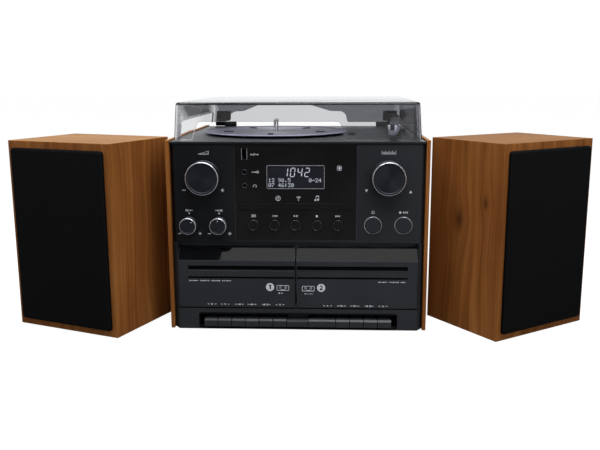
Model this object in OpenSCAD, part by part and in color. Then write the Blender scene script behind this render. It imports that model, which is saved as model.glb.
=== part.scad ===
// Stereo music centre: turntable, tuner, disc player and two cassette decks in one case, with two speakers.
// X runs to the right, Y to the back and Z up. Lengths are millimetres. Z = 0 is the surface it stands on.

/* [Set] */
// Sideways place of the main unit in the set
unit_x = -3; // [-20:0.5:20]
// Place of the main unit's front edge, towards the back
unit_y = -147; // [-180:1:-100]
// Clearance between pieces that are assembled side by side
fit_gap = 0.2; // [0.1:0.05:0.3]
// Radial clearance of a running fit
run_gap = 0.06; // [0.03:0.01:0.1]
// Clearance round a piece that slides or presses through a hole
slide_gap = 0.4; // [0.3:0.05:0.6]

/* [Case] */
// Width over the wooden side panels
case_w = 350; // [330:1:380]
// Depth of the wooden side panels
case_d = 335; // [320:1:360]
// Height of the top edge of the wooden side panels
case_h = 260; // [254:1:266]
// Thickness of a wooden side panel
panel_t = 5; // [3:0.5:8]
// Height of the rubber feet
foot_h = 1; // [1:0.5:3]
// Radius of a rubber foot
foot_r = 8; // [6:0.5:9]
// Distance of a foot from the case edges
foot_in = 16; // [12:1:30]
// Wall of the moulded base and rear panel
shell_t = 3; // [2:0.5:4]
// Height of the side flanges of the base tray
tray_wall_h = 18; // [12:1:30]
// Radius of a case screw head
screw_r = 3.4; // [2.5:0.1:4]
// Height of a case screw head
screw_h = 1.8; // [1:0.1:2.5]

/* [Control fascia] */
// Distance from the front of the side panels back to the upper fascia
fascia_in = 4; // [3:0.5:6]
// Thickness of the upper fascia
fascia_t = 3; // [2:0.5:4]
// Height of the lower edge of the upper fascia
fascia_z = 121.5; // [121:0.5:124]
// Sideways place of the middle of all controls
controls_x = -2; // [-4:0.5:4]
// Width of the display window on each side of the disc tray
window_side = 6.5; // [4:0.5:9]
// Height of the glossy display window
window_h = 128; // [126:1:128]
// Height of the middle of the display window
window_z = 189.4; // [188.8:0.2:189.8]
// Width of the liquid crystal display
lcd_w = 76.5; // [60:0.5:80]
// Height of the liquid crystal display
lcd_h = 31; // [24:0.5:34]
// Height of the middle of the liquid crystal display
lcd_z = 211; // [205:0.5:215]
// Radius of the volume and tuning knobs
knob_r = 22; // [16:0.5:24]
// How far the big knobs stand out
knob_out = 17; // [10:0.5:24]
// Distance of the big knobs from the middle
knob_x = 123; // [112:0.5:126]
// Height of the big knobs
knob_z = 210.5; // [205:0.5:215]
// Radius of the bass and treble knobs
tone_r = 11.2; // [8:0.2:13]
// How far the tone knobs stand out
tone_out = 15; // [10:0.5:20]
// Distance of the outer small knob and button from the middle
outer_x = 144; // [140:0.5:148]
// Distance of the inner small knob and button from the middle
inner_x = 103.5; // [100:0.5:108]
// Height of the small knobs and buttons
small_z = 146.2; // [144:0.2:150]
// Radius of a knob shaft
shaft_r = 3; // [2:0.5:4]
// Radius of the round buttons on the right
round_r = 10.5; // [8:0.5:12]
// Radius of a disc player button
button_r = 7.1; // [5:0.1:8]
// Distance between the disc player buttons
button_pitch = 28.4; // [24:0.2:30]
// How far the buttons stand out
button_out = 2.4; // [1.8:0.1:4]
// Inner side of the front circuit board, from the front of the fascia
board_in = 19; // [16:0.5:24]

/* [Disc player] */
// Width of the disc tray's front
tray_w = 150; // [130:1:154]
// Height of the disc tray's front
tray_h = 8.6; // [7:0.2:10]
// Height of the middle of the disc tray
tray_z = 171.2; // [169:0.2:174]
// Length of the disc tray
tray_d = 168; // [160:1:175]
// Radius of the disc recess in the tray
disc_r = 60.5; // [60.5:0.1:62]

/* [Front sockets] */
// Distance of the sockets from the middle, to the left
socket_x = 68; // [64:0.5:70]
// Height of the middle of the upright data socket
usb_z = 241.5; // [238:0.5:243]
// Inner width of the data socket
usb_w = 5.2; // [4.8:0.1:5.6]
// Inner height of the data socket
usb_h = 12.6; // [12:0.1:13]
// Height of the upper round socket
jack_z1 = 217.6; // [214:0.2:220]
// Height of the lower round socket
jack_z2 = 199.6; // [194:0.2:202]
// Bore radius of a round socket
jack_r = 1.8; // [1.75:0.05:1.9]
// Depth of a round socket
jack_l = 14; // [12:0.5:15]

/* [Cassette decks] */
// Distance of the door faces in front of the side panels
door_out = 2; // [1:0.5:4]
// Height of the lower edge of the doors
door_z0 = 32.3; // [32:0.1:34]
// Height of the bend in the doors
door_bend_z = 97.5; // [92:0.5:100]
// Height of the upper edge of the doors
door_z1 = 114; // [110:0.5:115]
// How far the upper edge of a door leans back
door_lean = 12; // [8:0.5:13]
// Thickness of a door
door_t = 3; // [2:0.5:3.5]
// Gap between the two doors
door_gap = 2.4; // [1.5:0.1:4]
// Width of the slanted cheek beside each door
cheek_w = 7; // [5:0.5:9]
// Width of a cassette
cassette_w = 100.4; // [100:0.1:101]
// Thickness of a cassette at its thick edge
cassette_t = 12; // [11.8:0.1:12.2]

/* [Keys] */
// Distance between two keys
key_pitch = 18.9; // [17:0.1:19.2]
// Gap between two keys
key_gap = 0.8; // [0.5:0.1:1.2]
// Width of the whole row of keys
key_row_w = 256; // [250:1:260]
// Height of the lower edge of the keys
key_z0 = 6; // [5.5:0.1:7]
// Height of a key's front face
key_h = 10.5; // [8:0.5:11]
// How far the keys stand in front of the side panels
key_out = 7; // [4:0.5:9]
// Distance of the keys' pivot behind the side panels' front
key_pivot_y = 45; // [40:1:60]
// Radius of the keys' pivot rod
key_rod_r = 1.5; // [1:0.1:2]

/* [Turntable] */
// Height of the turntable deck below the top edge of the side panels
deck_drop = 2; // [1:0.5:4]
// Thickness of the turntable deck
deck_t = 3.5; // [2.5:0.5:4.5]
// Sideways place of the record spindle
spindle_x = -38.7; // [-45:0.1:-30]
// Distance of the record spindle behind the side panels' front
spindle_y = 154.3; // [145:0.1:160]
// Radius of the record spindle
spindle_r = 3.57; // [3.5:0.01:3.6]
// Height of the record spindle above the platter
spindle_h = 17.5; // [10:0.5:19]
// Radius of the platter
platter_r = 106; // [98:1:107]
// Height of the platter's top above the deck
platter_up = 5; // [4:0.5:7]
// Thickness of the platter's rim
platter_rim_t = 1.6; // [1.2:0.1:2.5]
// Radius of the well in the deck under the platter
well_r = 88; // [84:1:92]
// Depth of the well in the deck
well_d = 9; // [8:0.5:12]
// Radius of the platter's belt ring
belt_ring_r = 46; // [40:1:50]
// Radius of the motor pulley
pulley_r = 6; // [4:0.5:8]
// Distance of the motor from the spindle
motor_off = 70; // [66:1:74]
// Direction of the motor from the spindle, in degrees
motor_dir = 135; // [120:5:150]
// Thickness of the drive belt
belt_t = 0.9; // [0.6:0.1:1.2]
// Height of the drive belt
belt_h = 3.4; // [2.5:0.1:4]

/* [Tonearm] */
// Sideways place of the tonearm's pivot
arm_x = 147; // [145:0.5:148]
// Distance of the headshell's tip behind the side panels' front
arm_tip_y = 28; // [24:0.5:34]
// Length from the pivot to the tip of the headshell
arm_l = 195; // [185:1:198]
// Turn of the resting tonearm away from straight ahead, in degrees
arm_yaw = 5.4; // [5:0.2:8]
// Height of the tonearm's top above the deck
arm_up = 21.5; // [20:0.5:22]
// Thickness of the tonearm
arm_t = 6.5; // [5:0.5:7]
// Width of the tonearm at its front
arm_w = 11.4; // [9:0.2:12]
// Radius of the tonearm's pivot pins
arm_pin_r = 1.5; // [1:0.1:2]
// Radius of the tonearm's base
arm_base_r = 9; // [8:0.5:9.5]

/* [Dust cover] */
// Half width of the cover at its lower edge
cover_half_w = 164.5; // [160:0.5:167]
// How far each wall of the cover leans in over its height
cover_draft = 3; // [0:0.5:5]
// Height of the cover
cover_h = 49; // [40:1:60]
// Wall of the cover
cover_t = 2.4; // [1.8:0.1:3]
// Distance of the cover's front wall behind the side panels' front
cover_y0 = 6; // [4:0.5:10]
// Distance of the cover's rear wall behind the side panels' front
cover_y1 = 330; // [322:1:332]
// Height of the cover's cut-outs for a record
cutout_h = 24; // [16:1:28]
// Height of the cover's lower edge above the deck
cover_gap = 2; // [1.5:0.5:3]
// Height of the gap under the cover's rear wall
rear_gap = 5; // [4:0.5:8]
// Distance of the hinges from the middle
hinge_x = 144; // [120:1:144]
// Radius of the hinge pins
hinge_pin_r = 1.6; // [1.2:0.1:2]

/* [Speakers] */
// Width of a speaker
spk_w = 167.5; // [150:0.5:180]
// Depth of a speaker
spk_d = 134; // [120:1:150]
// Height of a speaker with its feet
spk_h = 259; // [240:1:280]
// Wall of a speaker cabinet
spk_t = 9; // [6:0.5:15]
// Width of the grille
grille_w = 152; // [140:0.5:155]
// Height of the grille
grille_h = 239; // [230:1:240]
// Thickness of the grille
grille_t = 6.5; // [4:0.5:10]
// Corner radius of the grille
grille_r = 4; // [2:0.5:8]
// Sideways place of the left speaker's front from the middle of the main unit
left_x = -315; // [-330:1:-315]
// Place of the left speaker's front behind the side panels' front
left_y = -14.5; // [-40:0.5:10]
// Turn of the left speaker, in degrees
left_yaw = -21.7; // [-26:0.1:-16]
// Sideways place of the right speaker's front from the middle of the main unit
right_x = 330; // [330:1:345]
// Place of the right speaker's front behind the side panels' front
right_y = 4; // [-10:0.5:10]
// Turn of the right speaker, in degrees
right_yaw = 34.2; // [32:0.1:38]
// Radius of the woofer's frame
woofer_r = 56; // [50:1:60]
// Height of the woofer's middle
woofer_z = 92; // [80:1:100]
// Radius of the tweeter's frame
tweeter_r = 30; // [24:1:34]
// Height of the tweeter's middle
tweeter_z = 200; // [190:1:210]

/* [Hidden] */
$fn = 64;
hull_fn = 24;
eps = 0.01;
in_x = case_w/2 - panel_t - fit_gap;
tray_top = foot_h + shell_t;
tray_y0 = fascia_in + 3;
deck_z = case_h - deck_drop;
deck_under = deck_z - deck_t;
fascia_top = deck_under - fit_gap;
fascia_y1 = fascia_in + fascia_t;
window_w = tray_w + 2*window_side;
board_y = fascia_in + board_in;
board_t = 1.6;
board_side = 11;
board_edge = 7;
board_slot = 4;
board_post_x = window_w/2 + 2.5;
board_post_r = 2.5;
board_post_z = 14;
rear_y = case_d - shell_t - fit_gap;
window_ledge = 3;
window_t = 2;
lcd_y = fascia_in + window_t + fit_gap;
bevel = 5;
knob_face_gap = 0.8;
skirt_h = 2.6;
rim_w = 3;
tone_rim_w = 2.2;
flange_t = 1.2;
flange_w = 1.4;
button_stem_r = 2.5;
button_travel = 1.2;
tray_plate_t = 4;
slot_gap = 0.5;
door_hinge_z = door_z0 + 2.2;
door_hinge_y = 4 - door_out;
door_pin_r = 1.5;
door_boss_r = 2.6;
door_w = in_x - cheek_w - slide_gap - door_gap/2;
frame_z1 = door_z0 - 2;
bar_h = 5;
frame_top_z = fascia_z - fit_gap - bar_h;
recess_z1 = 24.7;
blank_w = key_row_w - 12*key_pitch;
key_arm_t = 5;
mech_y = 24;
cassette_h = 63.8;
platter_z = deck_z + platter_up;
pad_h = 0.6;
pad_l = 14;
pad_w = 7;
pad_at_r = 72;
pad_count = 5;
pad_angle = 52;
platter_lip = 2.4;
platter_step = 13;
platter_web = 2.4;
platter_skirt = 4;
belt_ring_t = 2.5;
platter_hub_r = 12;
journal_l = 8;
journal_r = spindle_r - 0.6;
hub_z = deck_z - well_d + 0.4;
mat_drop = 0.8;
pin_z = platter_z - mat_drop + 0.1;
belt_z = deck_z - well_d + 2.6;
arm_y = arm_tip_y + arm_l*cos(arm_yaw);
arm_top = deck_z + arm_up;
arm_low = arm_top - arm_t;
arm_pin_z = arm_low + arm_t/2;
cover_z = deck_z + cover_gap;
cover_top = cover_z + cover_h;
cover_edge = 2;
cover_corner_r = 6;
cut_x0 = -140;
cut_x1 = 65;
cut_y0 = 44;
cut_y1 = cover_y1 - 10;
cut_lean = 8;
cut_corner = 4;
side_cut_z = cover_z + cutout_h - 2;
rear_cut_z = cover_z + cutout_h + 0.5;
rear_lean = 3;
rear_corner = 9.5;
rear_x1 = 73;
hill_x0 = -83;
hill_x1 = 9;
hill_run = 28.5;
hill_z = rear_cut_z + 10;
hinge_y = cover_y1 + 4.4;
hinge_z = cover_z + 2.5;
hinge_r = 4;
spk_z0 = foot_h;
driver_t = 3;
basket_r = 7;
cone_edge = 12;
woofer_depth = 30;
woofer_magnet = 26;
tweeter_depth = 14;
tweeter_magnet = 12;
grille_rail = 8;
grille_face = 2.5;
well_floor = 2;
motor_x = spindle_x + motor_off*cos(motor_dir);
motor_y = spindle_y + motor_off*sin(motor_dir);
motor_boss_r = 5;
motor_r = 15;
motor_h = 20;
motor_ear = 10;
motor_ear_x = 19;
motor_ear_t = 2;
motor_shaft_r = 1;
pulley_rim_t = 0.6;
motor_top = deck_z - well_d - well_floor - fit_gap;
belt_slack = 0.1;
speed_x = spindle_x + platter_r + 8;
speed_y = spindle_y - 28;
speed_head_w = 10;
speed_head_d = 7;
speed_head_t = 2.8;
speed_rib_w = 2;
speed_rib_h = 1.2;
speed_stem = 3;
speed_travel = 10;
jack_out_r = 3.4;
jack_body = 9;
jack_lip = 0.5;
usb_wall = 0.4;
usb_y0 = fascia_in + 0.4;
usb_mouth = 5;
usb_tongue_t = 1.2;
lcd_rim = 3;
lcd_sink = 0.6;
door_top_y = door_lean - door_out;
door_pin_l = 5;
key_wall = 8;
sill_t = 1.3;
recess_r = 4.5;
blank_in = 1;
frame_lip = 12;
frame_wall = 3;
blank_x = blank_w/2 + 6*key_pitch - key_row_w/2;
key_arm_drop = 5;
key_arm_z = key_z0 + key_arm_drop;
key_arm_w = key_pitch - 5;
key_slope_h = 2.5;
key_slope_d = 2;
key_head_y = 8;
key_pivot_z = key_arm_z + key_arm_t/2;
key_boss_r = key_rod_r + 1.8;
groove_z0 = 84.8;
groove_z1 = 90.6;
line_z0 = 72.8;
line_z1 = 75.2;
groove_end = 13.5;
groove_d = 1.8;
line_d = 1.2;
band_t = 0.6;
door_side_t = 2;
guide_t = 1.6;
clip_t = 1.2;
clip_w = 9;
shelf_z = door_z0 + 8;
pocket_z1 = shelf_z + cassette_h;
pocket_lean = max(0, pocket_z1 - door_bend_z)*door_lean/(door_z1 - door_bend_z);
pocket_y0 = door_t - door_out + 1 + pocket_lean;
pocket_y1 = pocket_y0 + cassette_t + 2.4;
deck_mid = door_gap/2 + door_w/2;
reel_z = shelf_z + 36;
reel_x = 21.25;
reel_r = 3.6;
reel_l = 8;
head_w = 18;
head_z0 = 6;
head_h = 9;
head_l = 2;
reel_motor_r = 17;
reel_motor_l = 25;
mech_t = 1.6;
mech_side_t = 3;
mech_in = 6;
cd_y0 = board_y + board_t + 1;
cd_y1 = fascia_in + tray_d + 8;
cd_mid_y = fascia_in + disc_r + 5;
tray_low = tray_z - 2.5;
cd_z0 = tray_low - 12;
cd_plate_t = 2;
cd_side_h = 17;
cd_side_w = 6;
cd_side_x = tray_w/2 + 5;
cd_rail_x = tray_w/2 - 4;
cd_rail_w = 10;
cd_rail_in = 4;
cd_motor_r = 13;
pickup_x = -38;
pickup_w = 18;
pickup_d = 24;
disc_step = 2;
hub_r = 17;
hub_rim_r = 21;
mech_top_z = fascia_z - 2;
trafo_x = -100;
trafo_y = 270;
trafo_w = 68;
trafo_d = 40;
trafo_foot_t = 2;
core_w = 52;
core_d = 28;
core_h = 44;
coil_x = 16;
coil_w = 16;
coil_z0 = 8;
coil_z1 = 38;
main_x = 60;
main_y = 260;
main_w = 150;
main_d = 110;
standoff_h = 8;
standoff_r = 3;
standoff_in = 8;
main_z = tray_top + standoff_h;
cap_r = 6;
cap_h = 22;
cap_y = 24;
cap_places = [-38, -22, 20];
sink_w = 80;
sink_t = 8;
sink_h = 30;
sink_y = -46;
inlet_x = -130;
inlet_z = 40;
inlet_w = 24;
inlet_h = 16;
inlet_depth = 10;
inlet_back = 16;
inlet_lobe_x = 4.3;
inlet_lobe_r = 3.9;
inlet_pin_r = 1.2;
rca_r = 4.15;
rca_bore_r = 1.7;
rca_out = 7;
rca_x = 40;
rca_places = [[rca_x, 60], [rca_x, 42]];
socket_rim = 1;
socket_back = 10;
socket_bore = 4;
aerial_x = 75;
aerial_z = 51;
aerial_r = 4.7;
aerial_bore_r = 1.2;
aerial_out = 8;
clips_x = 118;
clips_z = 51;
clips_w = 44;
clips_h = 40;
clip_out = 7;
clip_back = 6;
clip_bore_r = 1.1;
clips_spk_z = 60;
screw_hole_r = 1.6;
screw_in = 20;
screw_low = 11;
screw_shank = 6;
screw_slot_w = 1;
screw_slot_d = 0.8;
screw_rows = [tray_top + screw_low, fascia_top - screw_in];
screw_places = [for (x = [screw_in - in_x, 0, in_x - screw_in], z = screw_rows) [x, z]];
hinge_half = 3;
hinge_base_w = 22;
hinge_foot = 12;
hinge_leaf_w = 10;
hinge_leaf_t = 3.8;
hinge_end = 14;
hinge_leaf_h = 22;
hinge_split = -2.6;
arm_base_h = 7;
arm_post_r = 2;
yoke_z = deck_z + arm_base_h + slide_gap;
yoke_floor = 3;
yoke_d = 10;
yoke_up = 3;
arm_block = 11;
arm_tail_w = 8;
arm_tail_l = 4;
rest_w = 8;
rest_t = 2;
rest_side = 0.6;
yoke_in = 6;
yoke_ear = 2;
arm_rear_w = 15.4;
rest_l = 120;
cart_z = platter_z + 1.2;
cart_w = 12;
cart_l = 24;
guard_w = 13.4;
guard_prong_w = 4.1;
guard_out = 4;
guard_l = 14;
guard_h = 5;
lift_x = 151;
lift_y = 160;
lift_z = deck_z + 4;
lift_pin_r = 1.5;
lift_block = 6;
lift_hub_r = 3.2;
lift_hub_w = 4.6;
lift_arm_l = 17;
lift_arm_w = 3.6;
lift_arm_t = 3.2;
set_sides = [-1, 1];
small_buttons = [-2, -1, 0, 1, 2];

// Places children of the main unit in the set
module unit() translate([unit_x, unit_y, 0]) children();

// Box between two corners
module slab(x0, x1, y0, y1, z0, z1) translate([x0, y0, z0]) cube([x1 - x0, y1 - y0, z1 - z0]);

// Rectangle with round corners about its middle
module rounded(w, h, r) {
    square([w - 2*r, h], center = true);
    square([w, h - 2*r], center = true);
    for (sx = set_sides, sy = set_sides) translate([sx*(w/2 - r), sy*(h/2 - r)]) circle(r);
}

// Upright outline in X and Z, extruded from y0 back to y1
module upright(y0, y1) translate([0, y1, 0]) rotate([90, 0, 0]) linear_extrude(y1 - y0) children();

// Round rod along Y from y0 back to y1
module rod_y(r, y0, y1) translate([0, y1, 0]) rotate([90, 0, 0]) cylinder(r = r, h = y1 - y0);

// Round rod along X from x0 to x1
module rod_x(r, x0, x1) translate([x0, 0, 0]) rotate([0, 90, 0]) cylinder(r = r, h = x1 - x0);

// Outline in Y and Z, extruded along X from x0 to x1
module profile_x(x0, x1) translate([x0, 0, 0]) rotate([90, 0, 90]) linear_extrude(x1 - x0) children();

// Bottom tray with side flanges and a thin tongue that closes the case under the keys
module base_tray() color("#1b1c1e") unit() {
    slab(-in_x, in_x, tray_y0, case_d - fit_gap, foot_h, tray_top);
    slab(fit_gap - key_row_w/2 - key_wall, key_row_w/2 + key_wall - fit_gap, -door_out, tray_y0 + 1,
        foot_h, foot_h + sill_t);
    for (s = set_sides) translate([s*(in_x - shell_t/2), 0, 0])
        slab(-shell_t/2, shell_t/2, mech_y, rear_y - fit_gap, foot_h, foot_h + tray_wall_h);
}

// Two wooden side panels
module side_panels() color("#8a5528") unit() for (s = set_sides)
    translate([s*(case_w - panel_t)/2, 0, 0]) slab(-panel_t/2, panel_t/2, 0, case_d, foot_h, case_h);

// Moulded rear panel with the holes for its sockets
module rear_panel() color("#1b1c1e") unit() difference() {
    slab(-in_x, in_x, rear_y, case_d - fit_gap, tray_top + fit_gap, fascia_top);
    translate([inlet_x, 0, inlet_z]) slab(-inlet_w/2 - fit_gap, inlet_w/2 + fit_gap,
        rear_y - 1, case_d + 1, -inlet_h/2 - fit_gap, inlet_h/2 + fit_gap);
    for (p = rca_places) translate([p[0], 0, p[1]]) rod_y(rca_r + fit_gap, rear_y - 1, case_d + 1);
    translate([aerial_x, 0, aerial_z]) rod_y(aerial_r + fit_gap, rear_y - 1, case_d + 1);
    translate([clips_x, 0, clips_z])
        slab(-clips_w/2, clips_w/2, rear_y - 1, case_d + 1, -clips_h/2, clips_h/2);
    for (p = screw_places) translate([p[0], 0, p[1]]) rod_y(screw_hole_r, rear_y - 1, case_d + 1);
}

// Turntable deck with a round well for the platter's belt ring
module turntable_deck() color("#3a3c3f") unit() difference() {
    union() {
        slab(-in_x, in_x, fascia_in - 1, case_d - fit_gap, deck_under, deck_z);
        translate([spindle_x, spindle_y, deck_z - well_d - well_floor]) cylinder(r = well_r + 2, h = well_d);
    }
    translate([spindle_x, spindle_y, deck_z - well_d]) cylinder(r = well_r, h = well_d + 1);
    translate([spindle_x, spindle_y, 0]) cylinder(r = journal_r + run_gap, h = deck_z);
    translate([motor_x, motor_y, 0]) cylinder(r = motor_boss_r + slide_gap, h = deck_z);
    slab(speed_x - speed_stem/2 - slide_gap, speed_x + speed_stem/2 + slide_gap,
        speed_y - speed_stem/2 - slide_gap, speed_y + speed_stem/2 + slide_gap + speed_travel,
        deck_under - 1, deck_z + 1);
}

// Upper fascia, bevelled at both sides, with holes for all that passes through it
module control_fascia() color("#1c1e21") unit() difference() {
    linear_extrude_between(fascia_z, fascia_top) polygon([
        [-in_x, fascia_y1 + bevel], [-in_x, fascia_in + bevel], [bevel - in_x, fascia_in],
        [in_x - bevel, fascia_in], [in_x, fascia_in + bevel], [in_x, fascia_y1 + bevel],
        [in_x - bevel, fascia_y1], [bevel - in_x, fascia_y1]]);
    translate([controls_x, 0, window_z])
        slab(-window_w/2, window_w/2, fascia_in - 1, fascia_in + window_t, -window_h/2, window_h/2);
    translate([controls_x, 0, window_z])
        slab(window_ledge - window_w/2, window_w/2 - window_ledge, fascia_in, fascia_y1 + 1,
            window_ledge - window_h/2, window_h/2 - window_ledge);
    for (s = set_sides) translate([controls_x + s*knob_x, 0, knob_z])
        rod_y(shaft_r + run_gap, fascia_in - 1, fascia_y1 + 1);
    for (x = [-outer_x, -inner_x]) translate([controls_x + x, 0, small_z])
        rod_y(shaft_r + run_gap, fascia_in - 1, fascia_y1 + 1);
    for (x = [inner_x, outer_x]) translate([controls_x + x, 0, small_z])
        rod_y(round_r + slide_gap, fascia_in - 1, fascia_y1 + 1);
}

module linear_extrude_between(z0, z1) translate([0, 0, z0]) linear_extrude(z1 - z0) children();

// Glossy panel in the middle of the fascia, with its openings
module display_window() color("#111213") unit() difference() {
    translate([controls_x, 0, window_z]) slab(fit_gap - window_w/2, window_w/2 - fit_gap, fascia_in,
        fascia_in + window_t - fit_gap, fit_gap - window_h/2, window_h/2 - fit_gap);
    translate([controls_x, 0, 0]) {
        slab(-lcd_w/2, lcd_w/2, fascia_in - 1, fascia_y1, lcd_z - lcd_h/2, lcd_z + lcd_h/2);
        slab(-tray_w/2 - slot_gap, tray_w/2 + slot_gap, fascia_in - 1, fascia_y1,
            tray_z - tray_h/2 - slot_gap, tray_z + tray_h/2 + slot_gap);
        translate([-socket_x, 0, usb_z]) slab(-usb_w/2 - usb_wall - fit_gap, usb_w/2 + usb_wall + fit_gap,
            fascia_in - 1, fascia_y1, -usb_h/2 - usb_wall - fit_gap, usb_h/2 + usb_wall + fit_gap);
        for (z = [jack_z1, jack_z2]) translate([-socket_x, 0, z])
            rod_y(jack_out_r + fit_gap, fascia_in - 1, fascia_y1);
        for (i = small_buttons) translate([i*button_pitch, 0, small_z])
            rod_y(button_r + slide_gap, fascia_in - 1, fascia_y1);
    }
}

// Liquid crystal display: glass in a frame, on the front board
module lcd_module() color("#5d6468") unit() translate([controls_x, 0, lcd_z]) {
    slab(-lcd_w/2 + fit_gap, lcd_w/2 - fit_gap, fascia_in + lcd_sink, lcd_y,
        -lcd_h/2 + fit_gap, lcd_h/2 - fit_gap);
    slab(-lcd_w/2 - lcd_rim, lcd_w/2 + lcd_rim, lcd_y, board_y - fit_gap,
        -lcd_h/2 - lcd_rim, lcd_h/2 + lcd_rim);
}

// Data socket and two round sockets behind the fascia
module front_sockets() color("#9a9ca0") unit() translate([controls_x - socket_x, 0, 0]) {
    translate([0, 0, usb_z]) difference() {
        slab(-usb_w/2 - usb_wall, usb_w/2 + usb_wall, usb_y0, board_y - fit_gap,
            -usb_h/2 - usb_wall, usb_h/2 + usb_wall);
        slab(-usb_w/2, usb_w/2, usb_y0 - 1, board_y - 2, -usb_h/2, usb_h/2);
    }
    translate([0, 0, usb_z]) slab(usb_w/2 - usb_tongue_t, usb_w/2 + eps,
        usb_y0 + usb_mouth, board_y - 2, -usb_h/2 + 1, usb_h/2 - 1);
    for (z = [jack_z1, jack_z2]) translate([0, 0, z]) difference() {
        union() {
            rod_y(jack_out_r, fascia_in - jack_lip, fascia_in + window_t + 1);
            slab(-jack_body/2, jack_body/2, fascia_in + window_t + fit_gap, board_y - fit_gap,
                -jack_body/2, jack_body/2);
        }
        rod_y(jack_r, fascia_in - 1, fascia_in - jack_lip + jack_l);
    }
}

// Lower front frame: cheeks, top bar, divider with door pins, and the key recess with its fixed middle block
module cassette_frame() color("#27292c") unit() difference() {
    frame_body();
    slab(-in_x - 1, in_x + 1, tray_y0 - fit_gap, mech_y, foot_h, tray_top + fit_gap);
}

module frame_body() {
    for (s = set_sides) mirror([s < 0 ? 1 : 0, 0, 0]) {
        linear_extrude_between(foot_h + fit_gap, fascia_z - fit_gap) polygon([
            [in_x - cheek_w, -door_out], [in_x, fascia_in + bevel - 1], [in_x, mech_y - 2],
            [in_x - frame_wall, mech_y - 2], [in_x - frame_wall, frame_lip], [in_x - cheek_w, frame_lip]]);
        slab(key_row_w/2 + key_wall, in_x - cheek_w + eps, -door_out, frame_lip, foot_h + fit_gap, frame_z1);
        translate([0, door_hinge_y, door_hinge_z])
            rod_x(door_pin_r, in_x - cheek_w - door_pin_l, in_x - cheek_w + 1);
    }
    slab(-in_x + 1, in_x - 1, door_top_y + 1, mech_y - 2, frame_top_z, fascia_z - fit_gap);
    slab(-key_row_w/2 - key_wall - 1, key_row_w/2 + key_wall + 1, -door_out, frame_lip, recess_z1, frame_z1);
    slab(-key_row_w/2 - key_wall - 1, key_row_w/2 + key_wall + 1, frame_lip - 2, frame_lip,
        key_z0 + key_h + 2, recess_z1 + 1);
    profile_x(blank_x - blank_w/2 + key_gap/2, blank_x + blank_w/2 - key_gap/2) translate([blank_in, -blank_in])
        polygon([[-key_out, key_z0 + blank_in], [-key_out, key_z0 + key_h - key_slope_h],
            [key_slope_d - key_out, key_z0 + key_h], [frame_lip - 2 - blank_in, key_z0 + key_h],
            [frame_lip - 2 - blank_in, recess_z1], [frame_lip - blank_in, recess_z1],
            [frame_lip - blank_in, key_z0 + blank_in]]);
    for (s = set_sides) mirror([s < 0 ? 1 : 0, 0, 0]) translate([key_row_w/2 + key_wall, 0, recess_z1])
        upright(-door_out, frame_lip) difference() {
            translate([-recess_r, -recess_r]) square(recess_r + eps);
            translate([-recess_r, -recess_r]) circle(recess_r);
        }
    translate([controls_x, 0, 0]) {
        slab(slide_gap - door_gap/2, door_gap/2 - slide_gap, door_hinge_y - 3, frame_lip,
            frame_z1 - 1, door_hinge_z + 3);
        translate([0, door_hinge_y, door_hinge_z])
            rod_x(door_pin_r, -door_pin_l - door_gap/2, door_pin_l + door_gap/2);
    }
}

// Rubber feet of the main unit and of both speakers
module rubber_feet() color("#151515") {
    unit() for (s = set_sides, y = [foot_in + 12, case_d - foot_in])
        translate([s*(case_w/2 - panel_t - foot_in), y, 0]) cylinder(r = foot_r, h = foot_h - eps*2);
    for (side = set_sides) speaker(side) for (s = set_sides, y = [foot_in, spk_d - foot_in])
        translate([s*(spk_w/2 - foot_in), y, 0]) cylinder(r = foot_r, h = foot_h - eps*2);
}

// Screws that hold the rear panel
module case_screws() color("#303236") unit() for (p = screw_places) translate([p[0], 0, p[1]]) difference() {
    union() {
        rod_y(screw_r, case_d - fit_gap, case_d - fit_gap + screw_h);
        rod_y(screw_hole_r - fit_gap, rear_y - screw_shank, case_d);
    }
    for (a = [0, 90]) rotate([0, a, 0]) slab(-screw_r*0.6, screw_r*0.6,
        case_d - fit_gap + screw_h - screw_slot_d, case_d + screw_h, -screw_slot_w/2, screw_slot_w/2);
}

// Front board behind the fascia, and the main board on the tray
module circuit_boards() color("#1f5b36") unit() {
    difference() {
        slab(board_side - in_x, in_x - board_side, board_y, board_y + board_t,
            fascia_z + board_edge, fascia_top - board_edge);
        translate([controls_x, 0, 0]) slab(-tray_w/2 - board_slot, tray_w/2 + board_slot,
            board_y - eps, board_y + board_t + eps, tray_low - board_slot/2, tray_low + tray_h);
    }
    for (s = set_sides) translate([controls_x + s*board_post_x, 0, fascia_z + board_post_z])
        rod_y(board_post_r, fascia_y1 + fit_gap, board_y);
    translate([main_x, main_y, 0]) {
        slab(-main_w/2, main_w/2, -main_d/2, main_d/2, main_z, main_z + board_t);
        for (sx = set_sides, sy = set_sides)
            translate([sx*(main_w/2 - standoff_in), sy*(main_d/2 - standoff_in), tray_top])
                cylinder(r = standoff_r, h = main_z - tray_top);
        for (x = cap_places) translate([x, cap_y, main_z + board_t]) cylinder(r = cap_r, h = cap_h);
        slab(-sink_w/2, sink_w/2, sink_y, sink_y + sink_t, main_z + board_t, main_z + board_t + sink_h);
    }
}

// Mains transformer on the tray: laminated core and winding
module transformer() color("#7d7f82") unit() translate([trafo_x, trafo_y, tray_top]) {
    slab(-trafo_w/2, trafo_w/2, -trafo_d/2, trafo_d/2, 0, trafo_foot_t);
    slab(-core_w/2, core_w/2, -core_d/2, core_d/2, trafo_foot_t, core_h);
    for (s = set_sides) translate([s*coil_x, 0, 0])
        slab(-coil_w/2, coil_w/2, -trafo_d/2, trafo_d/2, coil_z0, coil_z1);
}

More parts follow.
